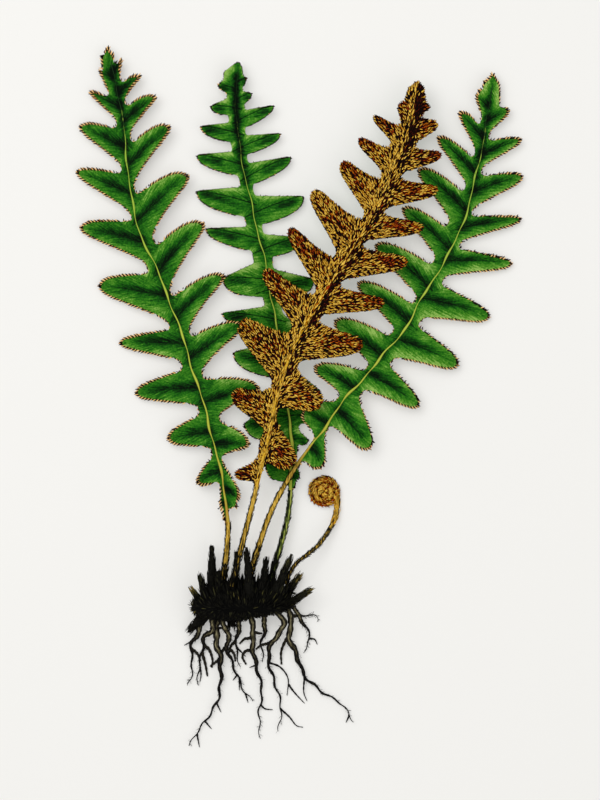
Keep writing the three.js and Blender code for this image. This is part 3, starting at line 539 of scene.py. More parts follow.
def triangulated(outline, step):
    """The plan of a blade: its spots and its triangles, counter-clockwise from above."""
    count = int(len(outline) * OUTLINE_STEP / (0.8 * step))
    loop = evenly(np.vstack([outline, outline[:1]]), count)[:-1]
    grid = inside_grid(loop, step)
    grid = grid[nearest_of(loop, grid)[1] > 0.45 * step]
    spots = [Vector(p) for p in np.vstack([loop[:, :2], grid])]
    edges = [(i, (i + 1) % len(loop)) for i in range(len(loop))]
    spots, _, faces, *_ = delaunay_2d_cdt(spots, edges, [], 1, 1e-5)
    spots, faces = np.array([s[:] for s in spots]), np.array(faces)
    p, q, r = (spots[faces[:, k]] for k in range(3))
    turned_over = (q[:, 0] - p[:, 0]) * (r[:, 1] - p[:, 1]) < (r[:, 0] - p[:, 0]) * (q[:, 1] - p[:, 1])
    faces[turned_over] = faces[turned_over][:, ::-1]
    return spots, faces


def two_faced(spots, faces, top, bottom):
    """A closed sheet between two heights, with a wall along its rim."""
    count = len(spots)
    sides = {(a, b) for face in faces.tolist() for a, b in zip(face, face[1:] + face[:1])}
    rim = np.array([(a, b) for a, b in sorted(sides) if (b, a) not in sides])
    a, b = rim[:, 0], rim[:, 1]
    walls = np.vstack([np.column_stack([a, a + count, b + count]), np.column_stack([a, b + count, b])])
    points = np.vstack([np.column_stack([spots, top]), np.column_stack([spots, bottom])])
    return points, np.vstack([faces, faces[:, ::-1] + count, walls])


def by_half(table, frond, at):
    """The value of each spot, from a table of the halves of the left and of the right lobes."""
    return np.array(table[frond["name"]])[2 * (at["hand"] < 0) + (at["upper"] <= 0)]


def leaf_shade(frond, at):
    """How light the leaf is, from 0, nearly black, to 1, yellow green: its own green, with painted shade in
    the folds, at the foot of the back frond's lobes and beside the midrib, and a painted highlight towards
    the margins.
    """
    out, across = at["share"], at["across"] * at["upper"]
    half_width = at["across"] + at["from_edge"]
    outer = np.clip((at["across"] / np.maximum(half_width, 0.1) - 0.3) / 0.45, 0, 1)
    pale = outer * np.clip(half_width, 0, 1) * by_half(PALE, frond, at)
    # Painted shade: dark in the fold along each lobe, at the foot of the back frond's lobes and beside the
    # midrib.
    if frond is BACK:
        middle, wide, tip_rib_shade = -1.0, 0.85, 0.4
        depth = np.clip((out - 0.3) / 0.25, 0, 1) * np.clip((1.0 - out) / 0.2, 0, 1)
        lobe_foot_shade = 0.1 * np.exp(-((out - 0.1) / 0.15)**2)
    else:
        middle, wide, tip_rib_shade = 0.35, 1.25 - 0.7 * np.clip(out, 0, 1), 0.2
        depth = np.clip((out + 0.1) / 0.2, 0, 1) * np.clip((0.9 - out) / 0.5, 0, 1)
        lobe_foot_shade = 0
    fold_shade = 0.42 * depth * np.exp(-((across - middle) / wide)**2)
    near_tip = np.clip((at["up_the_rib"] - 0.72) * 6, 0, 1)
    rib_shade = (0.16 + tip_rib_shade * near_tip) * np.exp(-(at["from_rib"] / 0.9)**2)
    return LIGHTNESS[frond["name"]] + pale + 0.06 * np.clip(out, 0, 1) - fold_shade - rib_shade - lobe_foot_shade


def blade_shell(frond):
    """The green leaf, with what its finish reads about veins, and about folds for its painted shade and
    highlight.
    """
    spots, faces = triangulated(pulled_in(frond["outline"], frond["inset"]), GRID)
    at = survey(frond, spots)
    wave = QUILT * np.sin(2 * math.pi * (at["run"] - at["across"]) / QUILT_PITCH)
    swell = wave * np.clip(at["across"] / 2, 0, 1)
    top = at["height"] + swell * np.clip(at["from_edge"], 0, 1) - COAT_OVER_LEAF * frond["turned"]
    points, faces = two_faced(spots, faces, top, top - LEAF)
    lean = at["run"] - VEIN_LEAN * at["across"]
    vein_map = np.column_stack([lean, at["run"], at["lobe"] * 7.3 + at["upper"] * 2.1])
    # Painted shade along each lobe's midvein, fading out near its tip.
    crease = -MIDVEIN_SHADE_DEPTH[frond["name"]] * np.clip((0.95 - at["share"]) / 0.3, 0, 1)
    return shell(points, faces, vein_map=np.vstack([vein_map] * 2), shade=np.tile(leaf_shade(frond, at), 2),
                 from_vein=np.tile(at["across"] * at["upper"], 2), crease=np.tile(crease, 2))


# %% [markdown]
# The midrib stands up from the blade as a slim rod that thins towards the tip. It is built like every
# stalk and root here: rings of points round a line, joined by triangles and closed at both ends.


# %% Rods
def stem_axes(line):
    """For each point of a line: the way it runs, and its left and upper side."""
    along = unit(np.gradient(line, axis=0))
    across = unit(np.cross([0, 0, 1], along))
    return along, across, np.cross(along, across)


def tube_faces(rings, sides):
    """The triangles between rings of points that follow each other."""
    a = (np.arange(rings - 1)[:, None] * sides + np.arange(sides)).ravel()
    b = (np.arange(rings - 1)[:, None] * sides + (np.arange(sides) + 1) % sides).ravel()
    return np.vstack([np.column_stack([a, b, b + sides]), np.column_stack([a, b + sides, a + sides])])


def rod(line, radius, sides=10, flat=1.0, finish=0, **numbers):
    """A closed rod round a line. radius and each number are one value a point, or one for all."""
    _, across, up = stem_axes(line)
    turn = (np.arange(sides) + 0.5) * 2 * math.pi / sides
    radius = np.broadcast_to(radius, len(line))[:, None, None]
    ring = across[:, None] * np.cos(turn)[:, None] + up[:, None] * np.sin(turn)[:, None] * flat
    points = (line[:, None] + ring * radius).reshape(-1, 3)
    k = np.arange(1, sides - 1)
    last = (len(line) - 1) * sides
    faces = np.vstack([tube_faces(len(line), sides), np.column_stack([k * 0, k + 1, k]),
                       np.column_stack([k * 0, k, k + 1]) + last])
    numbers = {key: np.repeat(np.broadcast_to(value, len(line)), sides) for key, value in numbers.items()}
    side, crest = np.tile(np.cos(turn), len(line)), np.tile(np.sin(turn), len(line))
    return shell(points, faces, finish, side=side, crest=crest, **numbers)


def midrib_shell(frond):
    """The raised midrib, swelling at each lobe and swaying a little, from the foot to near the tip."""
    line = evenly(frond["rib"][frond["foot_at"]:-6], 300)
    way = np.linspace(0, 1, len(line))
    radius = 0.3 - 0.12 * way
    # rim: how strongly painted shade darkens the midrib's flanks.
    if frond is BACK:
        radius = radius * 0.68 + 0.28 * np.exp(-(way / 0.3)**2)
        radius = radius * (1 - 0.75 * np.clip(way * 6 - 4, 0, 1))
        swelling, ripeness, rim = 0.5, 0.25 + 0.7 * way, 0.95
    else:
        radius = radius * 0.88 + 0.3 * np.exp(-way * 28)
        radius = radius * (1 - 0.5 * np.clip(way * 10 - 7.8, 0, 1))
        swelling, ripeness, rim = 1, way, 0.75
    wave = 0.42 * np.sin(way * 66) + 0.22 * np.sin(way * 131)
    radius = radius * (1 + wave * np.clip(way * 14 - 0.5, 0, swelling))
    kinks = 0.24 * np.sin(way * 43) + 0.13 * np.sin(way * 97 + 1)
    sway = kinks * np.clip(way * 8, 0, 1) * (1 - 0.4 * way)
    line[:, :2] += left_of(unit(np.gradient(line, axis=0))) * sway[:, None]
    line[:, 2] += 0.02
    return rod(line, radius, flat=0.8, finish=1, way=ripeness, rim=rim)


for frond in (LEFT, BACK, RIGHT):
    make_piece(frond["name"] + "_leaf", [blade_shell(frond), midrib_shell(frond)], [leaf_skin, midrib_skin],
               frond["name"] + "_blade")
make_piece("turned_frond_leaf", [blade_shell(TURNED)], [leaf_skin], "turned_frond_blade")

# %% [markdown]
# ## Papery scales
#
# The rust on this fern's back is a coat of thousands of papery scales, each a flat lance with a raised
# middle, with painted shade round its edge, and dark at its foot. Hair particles could scatter them, but
# the exported model drops particles, and a scale has to lie along its lobe and tuck under the next. So
# each is a closed body of eight points and twelve triangles, made for a whole coat at once from lists of
# feet, directions and sizes. They are about twice life size, as the plate shows them.

# %% Scale builder
SCALE_POINTS = np.array([  # share of the length, share of half the width, share of the thickness
    (0, 0, 0), (0.28, 1, 0), (0.28, -1, 0), (0.66, 0.72, 0), (0.66, -0.72, 0), (1, 0, 0),
    (0.3, 0, 1), (0.68, 0, 0.8)])
SCALE_FACES = np.array([
    (0, 6, 1), (0, 2, 6), (1, 6, 7), (1, 7, 3), (2, 7, 6), (2, 4, 7), (3, 7, 5), (7, 4, 5),
    (0, 1, 2), (2, 1, 3), (2, 3, 4), (3, 5, 4)])


def scale_shell(feet, ahead, normal, length, width, thick=0.09, bow=0.06, finish=0, **numbers):
    """Lance-shaped scales on their feet. Every argument but finish is one value a scale, or one for all."""
    count = len(feet)
    ahead = unit(np.broadcast_to(ahead, (count, 3)))
    side = unit(np.cross(np.broadcast_to(normal, (count, 3)), ahead))
    up = np.cross(ahead, side)
    length, width, thick, bow = (
        np.broadcast_to(value, count)[:, None, None] for value in (length, width, thick, bow))
    run, half, lift = (SCALE_POINTS[:, k][:, None] for k in range(3))
    lift = lift * thick + bow * length * 4 * run * (1 - run)
    points = (feet[:, None] + ahead[:, None] * run * length + side[:, None] * half * width / 2
              + up[:, None] * lift)
    points[:, :, 2] = np.maximum(points[:, :, 2], 0.0)
    faces = SCALE_FACES + 8 * np.arange(count)[:, None, None]
    each = {key: np.repeat(np.broadcast_to(value, count), 8) for key, value in numbers.items()}
    return shell(points.reshape(-1, 3), faces.reshape(-1, 3), finish, smooth=False,
                 reach=np.tile(SCALE_POINTS[:, 0], count), ridge=np.tile(SCALE_POINTS[:, 2], count), **each)


def shaken(ways, spread):
    """Directions on the plan, each turned by a random angle."""
    angle = np.arctan2(ways[:, 1], ways[:, 0]) + draw.normal(0, spread, len(ways))
    return np.column_stack([np.cos(angle), np.sin(angle)])


def headed(ways, rise):
    """Directions on the plan with a rise above it."""
    return np.column_stack([unit(ways) * np.cos(rise)[:, None], np.sin(rise)])


def ripple(spots, size, start):
    """A smooth random value from -1 to 1 over the plan, its bumps about a size across."""
    x, y = spots[:, 0] / size, spots[:, 1] / size
    folds = np.sin(x * 2.1 + start + 1.7 * np.sin(y * 1.3 + start))
    return folds * np.cos(y * 1.9 - start + 1.3 * np.sin(x * 1.7))


# %% [markdown]
# The scales wear one of three finishes: for the coat, for the fringe, and for the black scales of
# stalks, rootstock and roots. The coat runs from black brown, which also paints the shade in the gaps,
# through maroon and rust to a straw gold. The fringe is made of pale scales and black ones in turn. The
# number called tone says which a scale is; ridge lays painted shade round its edge and reach darkens its
# foot.

# %% Scale finishes
FIBRE = 0.35


def scale_finish(name, stops, rough, edge=-0.72):
    """Papery scales: a tone for each, with painted shade at the edge, darker at the foot, and finely mottled.
    """
    finish, skin = new_finish(name)
    tone, ridge, reach = (
        add(finish, "Attribute", out="Fac", attribute_name=key) for key in ("tone", "ridge", "reach"))
    place = add(finish, "TexCoord", out="Object")
    fibre = add(finish, "TexNoise", {"Vector": place, "Scale": 1 / (FIBRE * MM), "Detail": 2.0})
    # Painted shade: each scale darkens towards its edge, by edge.
    middle = add(finish, "MapRange", {
        "Value": ridge, "From Min": 0.0, "From Max": 0.42, "To Min": edge, "To Max": 0.04})
    foot = add(finish, "MapRange", {
        "Value": reach, "From Min": 0.05, "From Max": 0.4, "To Min": -0.4, "To Max": 0.0})
    for part in (middle, foot):
        tone = add(finish, "Math", {0: tone, 1: part}, operation="ADD")
    colours = add(finish, "ValToRGB", {0: mottle(finish, tone, (fibre, 0.3))}, stops=stops)
    bump = add(finish, "Bump", {"Height": fibre, "Strength": 0.4, "Distance": 0.04 * MM})
    fill(finish, skin, {
        "Base Color": colours, "Normal": bump, "Roughness": rough, "Specular IOR Level": 0.03})
    return finish


rusty_scales = scale_finish("rusty_papery_scales", [
    (0.0, "0D0604"), (1.0, "EBC856"), (0.2, "1E0B05"), (0.34, "5E1608"), (0.46, "AA360A"), (0.58, "B66606"),
    (0.76, "C8940A")], rough=0.65)
fringe_scales = scale_finish("straw_and_black_fringe", [
    (0.0, "0B0705"), (1.0, "F2C67E"), (0.3, "1D100A"), (0.5, "5A2A10"), (0.72, "BA6A20")],
    rough=0.6, edge=-0.26)
black_scales = scale_finish("black_root_scales", [
    (0.0, "030303"), (1.0, "8C7434"), (0.3, "0C0C0A"), (0.5, "181712"), (0.72, "30301C"), (0.86, "565024")],
    rough=0.75)
print("papery finishes:", rusty_scales.name, fringe_scales.name, black_scales.name)

# %% [markdown]
# ## Scales round a stem
#
# Stalks, the crozier, the rootstock's stubs and the roots all bear scales that grow round a stem and
# point along it. One function sets a number of them on a line at random, between two angles round it.
# Their tone is a number, or a function of how far along and how far round they are.


# %% Scales round a line
def clothed(line, radius, count, length, width, tone, arc=(0, 2 * math.pi), rise=(0.1, 0.3), spread=0.25,
            finish=0, part=(0, 1), thick=0.09):
    """Scales that grow round a line and point the way it runs. arc is measured from its left side."""
    along, across, up = stem_axes(line)
    spots = draw.uniform(*part, count) * (len(line) - 1)

    def read(rows):
        return np.column_stack([np.interp(spots, np.arange(len(line)), column) for column in rows.T])

    turn = draw.uniform(*arc, count)
    side, crest = np.cos(turn)[:, None], np.sin(turn)[:, None]
    out = read(across) * side + read(up) * crest
    aside = read(up) * side - read(across) * crest
    ahead = (read(along) + out * draw.uniform(*rise, count)[:, None]
             + aside * draw.normal(0, spread, count)[:, None])
    girth = np.interp(spots, np.arange(len(line)), np.broadcast_to(radius, len(line)))
    feet = read(line) + out * (girth * 0.9)[:, None]
    feet[:, 2] = np.maximum(feet[:, 2], 0.12)
    ahead[:, 2] = np.maximum(ahead[:, 2], -0.5 * feet[:, 2] / np.max(length))
    way = spots / (len(line) - 1)
    long, wide = draw.uniform(*length, count), draw.uniform(*width, count)
    own_tone = tone(way, turn) if callable(tone) else tone
    return scale_shell(feet, ahead, out, long, wide, thick=thick, finish=finish,
                       tone=own_tone + draw.normal(0, 0.08, count))


# %% [markdown]
# ## The turned frond's coat
#
# On the turned frond the whole underside shows. Its scales start from an even grid, shaken a little,
# and point out along their lobe, fanning towards its margins; beside the midrib they point up the
# frond. Under them lies a dark sheet, painted shade that shows as the black gaps between them. Rust-red
# patches sit on the middle of the lobes, and black scales paint the shadow on the right flank of the
# midrib.

# %% Turned coat
SCALE_STEP = 0.44
SCALE_LENGTH = (0.95, 1.4)
SCALE_WIDTH = (0.25, 0.36)
RIB_SCALES = 800
RIB_SCALE_LENGTH = (1.1, 1.7)
RIB_SCALE_WIDTH = (0.28, 0.42)
GAP_SHADE_THICKNESS = 0.42


def gap_shade_sheet(frond, top, bottom):
    """A dark sheet against the leaf that the scales grow from: painted shade for the gaps between them."""
    spots, faces = triangulated(pulled_in(frond["outline"], frond["inset"] + 0.1), 0.9)
    height = survey(frond, spots)["height"]
    points, faces = two_faced(spots, faces, height + top, height + bottom)
    return shell(points, faces, tone=0.5, ridge=0.0, reach=0.3)


def random_tones(rusty, dark, rusts, golds, darks):
    """A tone for each scale: rust for a share of them and gold for the rest, then a share made dark."""
    count = len(rusty)
    tone = np.where(draw.random(count) < rusty, draw.uniform(*rusts, count), draw.uniform(*golds, count))
    return np.where(draw.random(count) < dark, draw.uniform(*darks, count), tone)


def coat_tone(spots, at):
    """Gold scales, with rust ones in patches along the lobes, and black ones right of the midrib as painted
    shadow.
    """
    patch = np.clip(ripple(spots, 2.2, 1.0) * 0.9 + 0.7, 0, 1)
    rusty = 0.95 * patch * np.exp(-(at["across"] / 2.1)**2) * np.clip(at["share"] * 3 - 0.4, 0.1, 1)
    # Painted shadow: a share of black scales on the right flank of the midrib.
    flank = 0.5 * np.exp(-((at["offset"] + 0.9) / 1.1)**2) * np.clip((at["up_the_rib"] - 0.3) * 5, 0.3, 1)
    ends = 0.26 + 0.22 * (1 - at["up_the_rib"]) + 0.2 * np.clip((at["up_the_rib"] - 0.82) * 9, 0, 1)
    return random_tones(rusty, ends + flank, (0.36, 0.6), (0.78, 1.1), (0.0, 0.3))


def coat_shell(frond, step, facing, depth):
    """The scales all over one face of a frond: facing is 1 for up and -1 for down."""
    spots = inside_grid(frond["outline"], step)
    spots = spots + draw.uniform(-0.3, 0.3, spots.shape) * step
    at = survey(frond, spots)
    keep = at["from_edge"] > 0.25
    spots, at = spots[keep], {key: value[keep] for key, value in at.items()}
    count = len(spots)
    outward = left_of(at["course"]) * (-at["hand"] * at["upper"])[:, None]
    by_rib = 1.6 * np.exp(-(at["from_rib"] / 1.3)**2) + 0.25
    spread = 0.45 * np.clip(at["across"] / 2.6, 0, 1)
    own_side = (at["hand"] * at["offset"] > 0)[:, None]
    way = at["course"] * own_side + at["along"] * by_rib[:, None] + outward * (spread[:, None] * own_side)
    way = shaken(way, 0.2)
    rise = facing * draw.uniform(0.1, 0.24, count)
    length = np.minimum(draw.uniform(*SCALE_LENGTH, count), 0.4 + at["from_edge"])
    tone = coat_tone(spots, at)
    feet = np.column_stack([spots, at["height"] + depth])
    return scale_shell(feet, headed(way, rise), (0, 0, facing), length, draw.uniform(*SCALE_WIDTH, count),
                       tone=tone)


def rib_scales(frond, count):
    """Scales in the band beside the midrib, which all point up the frond."""
    place = draw.integers(frond["foot_at"] + 3, RIB_POINTS - 14, count)
    offset = draw.uniform(-2.2, 2.2, count)
    along = frond["along"][place, :2]
    spots = frond["rib"][place, :2] + left_of(along) * offset[:, None]
    keep = inside(frond["outline"], spots)
    spots, along, offset = spots[keep], along[keep], offset[keep]
    count = len(spots)
    at = survey(frond, spots)
    way = along + left_of(along) * (0.28 * offset + draw.normal(0, 0.2, count))[:, None]
    rise = draw.uniform(0.02, 0.14, count)
    length = np.minimum(draw.uniform(*RIB_SCALE_LENGTH, count), 0.4 + at["from_edge"])
    feet = np.column_stack([spots, at["height"]])
    return scale_shell(feet, headed(way, rise), (0, 0, 1), length, draw.uniform(*RIB_SCALE_WIDTH, count),
                       tone=coat_tone(spots, at))


ridge_line = evenly(TURNED["rib"][TURNED["foot_at"]:-6], 200) + [0, 0, -0.05]
ridge_way = np.linspace(0, 1, 200)
ridge_girth = 0.5 - 0.24 * ridge_way
# Painted shade: the midrib's rod darkens from halfway up, as the shadowed valley along it.
ridge = rod(ridge_line, ridge_girth, tone=np.interp(ridge_way, [0.35, 0.6], [0.8, 0.15]), ridge=0.6,
            reach=0.5)


def ridge_tone(way, turn):
    """Gold scales with dark ones between, most of them near the tip, and on the right flank higher up as
    painted shadow.
    """
    dark = 0.22 + 0.4 * (turn > 1.7) * np.clip(way * 4 - 0.8, 0, 1) + 0.3 * np.clip(way * 8 - 6.6, 0, 1)
    return np.where(draw.random(len(way)) < dark, 0.14, 0.94)


ridge_scales = clothed(ridge_line, ridge_girth, 520, (1.4, 2.1), (0.28, 0.42), ridge_tone,
                       arc=(0.2, math.pi - 0.2), rise=(0.02, 0.12), spread=0.12)
print("scales on the turned frond's midrib:", len(ridge_scales["faces"]) // len(SCALE_FACES))

# %% [markdown]
# ## Coats of the green fronds and their fringe
#
# The three green fronds have the same coat underneath. From above only its fringe shows: scales that
# grow under the margin and jut past it, slanting towards the tip of the lobe, pale and black in turn
# like a twisted cord. They are set out by walking round the outline in even steps. On the back frond
# the fringe hardly shows, and the turned frond has a short black one.

# %% Green coats
UNDER_STEP = 0.85
UNDER_LEAF = LEAF + 0.04
TURNED_DEPTH = 0.25
FRINGE_STEP = 0.42
PALE_STRAND = (1.36, 0.42, 1.05)  # length, width, tone
BLACK_STRAND = (1.4, 0.45, 0.2)
FRINGE = {  # length of the fringe on the upper and lower halves of the left and of the right lobes
    "left_frond": (1.0, 1.0, 1.0, 1.0),
    "back_frond": (0.1, 0.5, 0.1, 0.4),
    "right_frond": (0.85, 0.85, 0.6, 0.85),
    "turned_frond": (0.4, 0.4, 0.4, 0.4),
}


def fringe_shell(frond, depth):
    """Scales round the margin, alternately pale and black, slanted like the strands of a cord."""
    outline = frond["outline"]
    loop = evenly(np.vstack([outline, outline[:1]]), int(frond["margin"] / FRINGE_STEP))[:-1]
    ahead = unit(np.roll(loop[:, :2], -1, axis=0) - np.roll(loop[:, :2], 1, axis=0))
    outward = left_of(ahead)
    at = survey(frond, loop[:, :2])
    count = len(loop)
    share = by_half(FRINGE, frond, at)
    black = np.maximum(np.arange(count) % 2, draw.random(count) > 2.2 * share - 0.7)
    black = np.maximum(black, frond["turned"])
    length, width, tone = (np.where(black > 0, *pair) for pair in zip(BLACK_STRAND, PALE_STRAND))
    tipward = np.tanh(3 * np.sum(ahead * at["course"], axis=1))
    way = shaken(outward * 0.66 + ahead * tipward[:, None] * 0.82, 0.07)
    size = draw.uniform(0.9, 1.1, count) * (0.35 + 0.65 * share) * np.clip(0.6 + at["share"] * 2.5, 0.7, 1)
    feet = np.column_stack([
        loop[:, :2] - outward * (frond["inset"] + 0.25), at["height"] - depth + 0.1 * black])
    tone = tone + draw.normal(0, 0.08, count)
    rise = draw.uniform(0.0, 0.14, count)
    return scale_shell(feet, headed(way, rise), (0, 0, 1), size * length, width, bow=0.02, finish=1,
                       tone=tone)


for frond in (LEFT, BACK, RIGHT):
    parts = [gap_shade_sheet(frond, -UNDER_LEAF, -UNDER_LEAF - 0.25),
             coat_shell(frond, UNDER_STEP, -1, -UNDER_LEAF - 0.2),
             fringe_shell(frond, UNDER_LEAF)]
    make_piece(frond["name"] + "_coat", parts, [rusty_scales, fringe_scales],
               frond["name"] + "_scales")
parts = [gap_shade_sheet(TURNED, 0, -GAP_SHADE_THICKNESS), coat_shell(TURNED, SCALE_STEP, 1, -0.05),
         rib_scales(TURNED, RIB_SCALES), ridge, ridge_scales, fringe_shell(TURNED, TURNED_DEPTH)]
make_piece("turned_frond_coat", parts, [rusty_scales, fringe_scales], "turned_frond_scales")

# %% [markdown]
# ## Stalks
#
# A stalk is wiry and ochre gold, black where it leaves the rootstock, with painted shade along both
# flanks and flecks of small black scales pressed to its two sides, which also darken its outline as
# painted shade. The black foot of the turned frond's stalk is longest and that of the right frond's
# shortest. The back frond's stalk is still young: yellow green, its left half dark and painted shade
# along its right flank. The colour comes from how far up the stalk a spot is and how far round it.

# %% Stalk finish and stalks
STALK_STOPS = [(0.0, "0B0905"), (1.0, "D2AC48"), (0.2, "1E180A"), (0.42, "56481A"), (0.68, "A88224")]
YOUNG_STOPS = [(0.0, "090B05"), (1.0, "A9AE52"), (0.2, "12160A"), (0.45, "2E3A18"), (0.7, "66752C")]
STREAK = (1 / (0.3 * MM), 1 / (2.5 * MM), 1 / (0.3 * MM))
DARK_FOOT = {"left_frond": 0.0, "back_frond": 0.0, "turned_frond": 0.18, "right_frond": -0.12}


def stalk_finish(name, stops, sides):
    """A stem's colour by its way up and round it, in streaks that run up it; sides are colour stops that
    darken it by how far round it a spot is, such as painted shade along its flanks.
    """
    finish, skin = new_finish(name)
    way, side = (add(finish, "Attribute", out="Fac", attribute_name=key) for key in ("way", "side"))
    place = add(finish, "TexCoord", out="Object")
    stretched = add(finish, "Mapping", {"Vector": place, "Scale": STREAK})
    streaks = add(finish, "TexNoise", {"Vector": stretched, "Scale": 1.0, "Detail": 3.0})
    climb = add(finish, "MapRange", {
        "Value": way, "From Min": 0.0, "From Max": 0.45, "To Min": 0.16, "To Max": 0.84})
    # Painted shade along the flanks: a stem darkens by how far round it a spot is.
    round_it = add(finish, "MapRange", {
        "Value": side, "From Min": -1.0, "From Max": 1.0, "To Min": 0.0, "To Max": 1.0})
    flank_shade = add(finish, "ValToRGB", {0: round_it}, stops=sides)
    flank_shade_tone = add(finish, "Math", {0: flank_shade, 1: 0.65, 2: -0.65}, operation="MULTIPLY_ADD")
    tone = add(finish, "Math", {0: climb, 1: flank_shade_tone}, operation="ADD")
    colours = add(finish, "ValToRGB", {0: mottle(finish, tone, (streaks, 3.0))}, stops=stops)
    bump = add(finish, "Bump", {"Height": streaks, "Strength": 0.5, "Distance": 0.08 * MM})
    fill(finish, skin, {
        "Base Color": colours, "Normal": bump, "Roughness": 0.6, "Specular IOR Level": 0.06})
    return finish


def fleck_tone(way, turn):
    """Black scales, a little less so higher up."""
    return 0.3 + 0.15 * way


# The stops by side paint shade along both flanks of the ochre stalk and the right flank of the young one, and
# darken the young one's left half.
stalk_skin = stalk_finish("ochre_stalk", STALK_STOPS, [
    (0.08, "000000"), (0.92, "000000"), (0.25, "FFFFFF"), (0.75, "FFFFFF")])
young_skin = stalk_finish("young_green_stalk", YOUNG_STOPS, [
    (0.06, "000000"), (0.62, "000000"), (0.2, "FFFFFF"), (0.44, "FFFFFF")])

for frond in FRONDS:
    line = evenly(frond["rib"][2:frond["foot_at"] + 2], 90)
    way = np.linspace(0, 1, len(line))
    radius = (0.72 - 0.12 * way) * (1 + 0.05 * np.sin(way * 37) + 0.04 * np.sin(way * 83))
    stem = rod(line, radius, sides=16, way=way - DARK_FOOT[frond["name"]])
    # Black scales on the two flanks only: real scales that also darken the outline as painted shade.
    flecks = [clothed(line, radius, 110, (0.6, 1.1), (0.16, 0.3), fleck_tone, finish=1,
                      arc=(middle - 0.5, middle + 0.5), rise=(0.05, 0.4)) for middle in (0, math.pi)]
    sheath = clothed(line, radius, 90, (1.2, 2.2), (0.2, 0.32), lambda way, turn: 0.3 + 0.8 * way,
                     rise=(0.05, 0.25), part=(0, 0.3), finish=1)
    skin = young_skin if frond is BACK else stalk_skin
    make_piece(frond["name"] + "_stem", [stem, *flecks, sheath], [skin, black_scales],
               frond["name"] + "_stalk")

# %% [markdown]
# ## Crozier
#
# A young frond is coiled like a watch spring, and its whole head bristles with golden scales that
# follow the coil, so that it looks like a solid disc. A thin dark disc fills the gaps of the coil as
# painted shade, and 1,400 scales swirl over it, more of them dark in the grooves between its turns as
# painted shade. Its stalk is black at the rootstock and golden at the head, where a beard of scales
# juts out and a collar sits round it.

# %% Crozier
CROZIER_STALK = [(10.4, 3.6, 5.4), (13, 8.8, 5), (16, 11.3, 4.2), (19, 13.8, 3.2), (21.4, 17.2, 2.1),
                 (23, 20.4, 1.3), (23.6, 23.6, 0.95)]
COIL_CENTRE = np.array([20.3, 27.1, 0.85])
COIL_RADIUS = 3.1
COIL_PITCH = 1.55
COIL_TURNS = 1.65
COIL_GIRTH = 0.62
DISC_RADIUS = 3.2
DISC_SIDES = 40
HEAD_RADIUS = 3.7
HEAD_SCALES = 1400

turn = np.arange(0, COIL_TURNS, 0.08)
reach = (COIL_RADIUS - COIL_PITCH * turn)[:, None]
coil = COIL_CENTRE + reach * np.column_stack([
    np.cos(turn * 2 * math.pi - 0.2), np.sin(turn * 2 * math.pi - 0.2), turn * 0])
whole = smooth_line([*CROZIER_STALK, *coil], 260)
bend = int(nearest_of(whole, [(23.4, 24.5)])[0][0])
stem_line, coil_line = whole[2:bend + 8], whole[bend:]
way = np.linspace(0, 1, len(stem_line))
stem_radius = 0.45 + 0.2 * way**1.5 + 0.03 * np.sin(way * 40)
stem = rod(stem_line, stem_radius, sides=16, way=0.6 * way**3)
coil_rod = rod(coil_line, np.minimum(COIL_GIRTH, np.linspace(4.2, 0.2, len(coil_line))), finish=1,
               tone=0.35, ridge=0.2, reach=0.3)

angle = np.linspace(0, 2 * math.pi, DISC_SIDES, endpoint=False)
ring = np.column_stack([np.cos(angle), np.sin(angle)])
disc_spots = np.vstack([COIL_CENTRE[:2] + ring * DISC_RADIUS, COIL_CENTRE[:2]])
disc_faces = np.array([(k, (k + 1) % DISC_SIDES, DISC_SIDES) for k in range(DISC_SIDES)])
disc_points, disc_faces = two_faced(
    disc_spots, disc_faces, np.full(len(disc_spots), 1.15), np.full(len(disc_spots), 0.25))
# The disc is dark: painted shade in the gaps of the coil.
disc = shell(disc_points, disc_faces, 1, tone=0.3, ridge=0.0, reach=0.3)


def swirl(count, inmost=50):
    """Scales all over the coiled head, following it round and in, some of them at its very middle."""
    away = np.concatenate([
        np.sqrt(draw.uniform(0.0, 1.0, count - inmost)) * HEAD_RADIUS, draw.uniform(0, 0.8, inmost)])
    around = draw.uniform(0, 2 * math.pi, count)
    out = np.column_stack([np.cos(around), np.sin(around)])
    ridge_at = np.cos(2 * math.pi * (away - COIL_RADIUS + COIL_PITCH * around / (2 * math.pi)) / COIL_PITCH)
    feet = np.column_stack([COIL_CENTRE[:2] + out * np.minimum(away, 3.5)[:, None],
                            1.35 + 0.25 * ridge_at - 0.9 * np.clip(away - 2.9, 0, 1)])
    lean = draw.normal(0.1, 0.2, count) + 0.5 * np.clip(away - 3.0, 0, 1)
    way = left_of(out) + out * lean[:, None]
    rusty_rim = 0.5 * (away > 2.8) * (np.sin(around + 0.6) < -0.2)
    rusty = 0.75 * (np.clip(ripple(feet, 1.3, 0.4) * 0.8 + 0.4, 0, 1) + rusty_rim)
    # Painted shade: more dark scales in the grooves between the turns of the coil.
    tone = random_tones(rusty, 0.14 + 0.6 * (ridge_at < -0.5), (0.34, 0.62), (0.8, 1.1), (0.1, 0.42))
    return scale_shell(feet, headed(way, draw.uniform(0.02, 0.22, count)), (0, 0, 1),
                       draw.uniform(0.85, 1.35, count), draw.uniform(0.22, 0.32, count), finish=1, tone=tone)


beard = clothed(coil_line[:110], COIL_GIRTH, 130, (0.7, 1.2), (0.18, 0.28), 0.8,
                arc=(math.pi - 1.3, math.pi + 0.4), rise=(0.3, 0.9), finish=1)
collar = clothed(stem_line, stem_radius, 140, (1.0, 1.6), (0.2, 0.32), 0.9,
                 rise=(0.05, 0.25), part=(0.72, 1), finish=1)
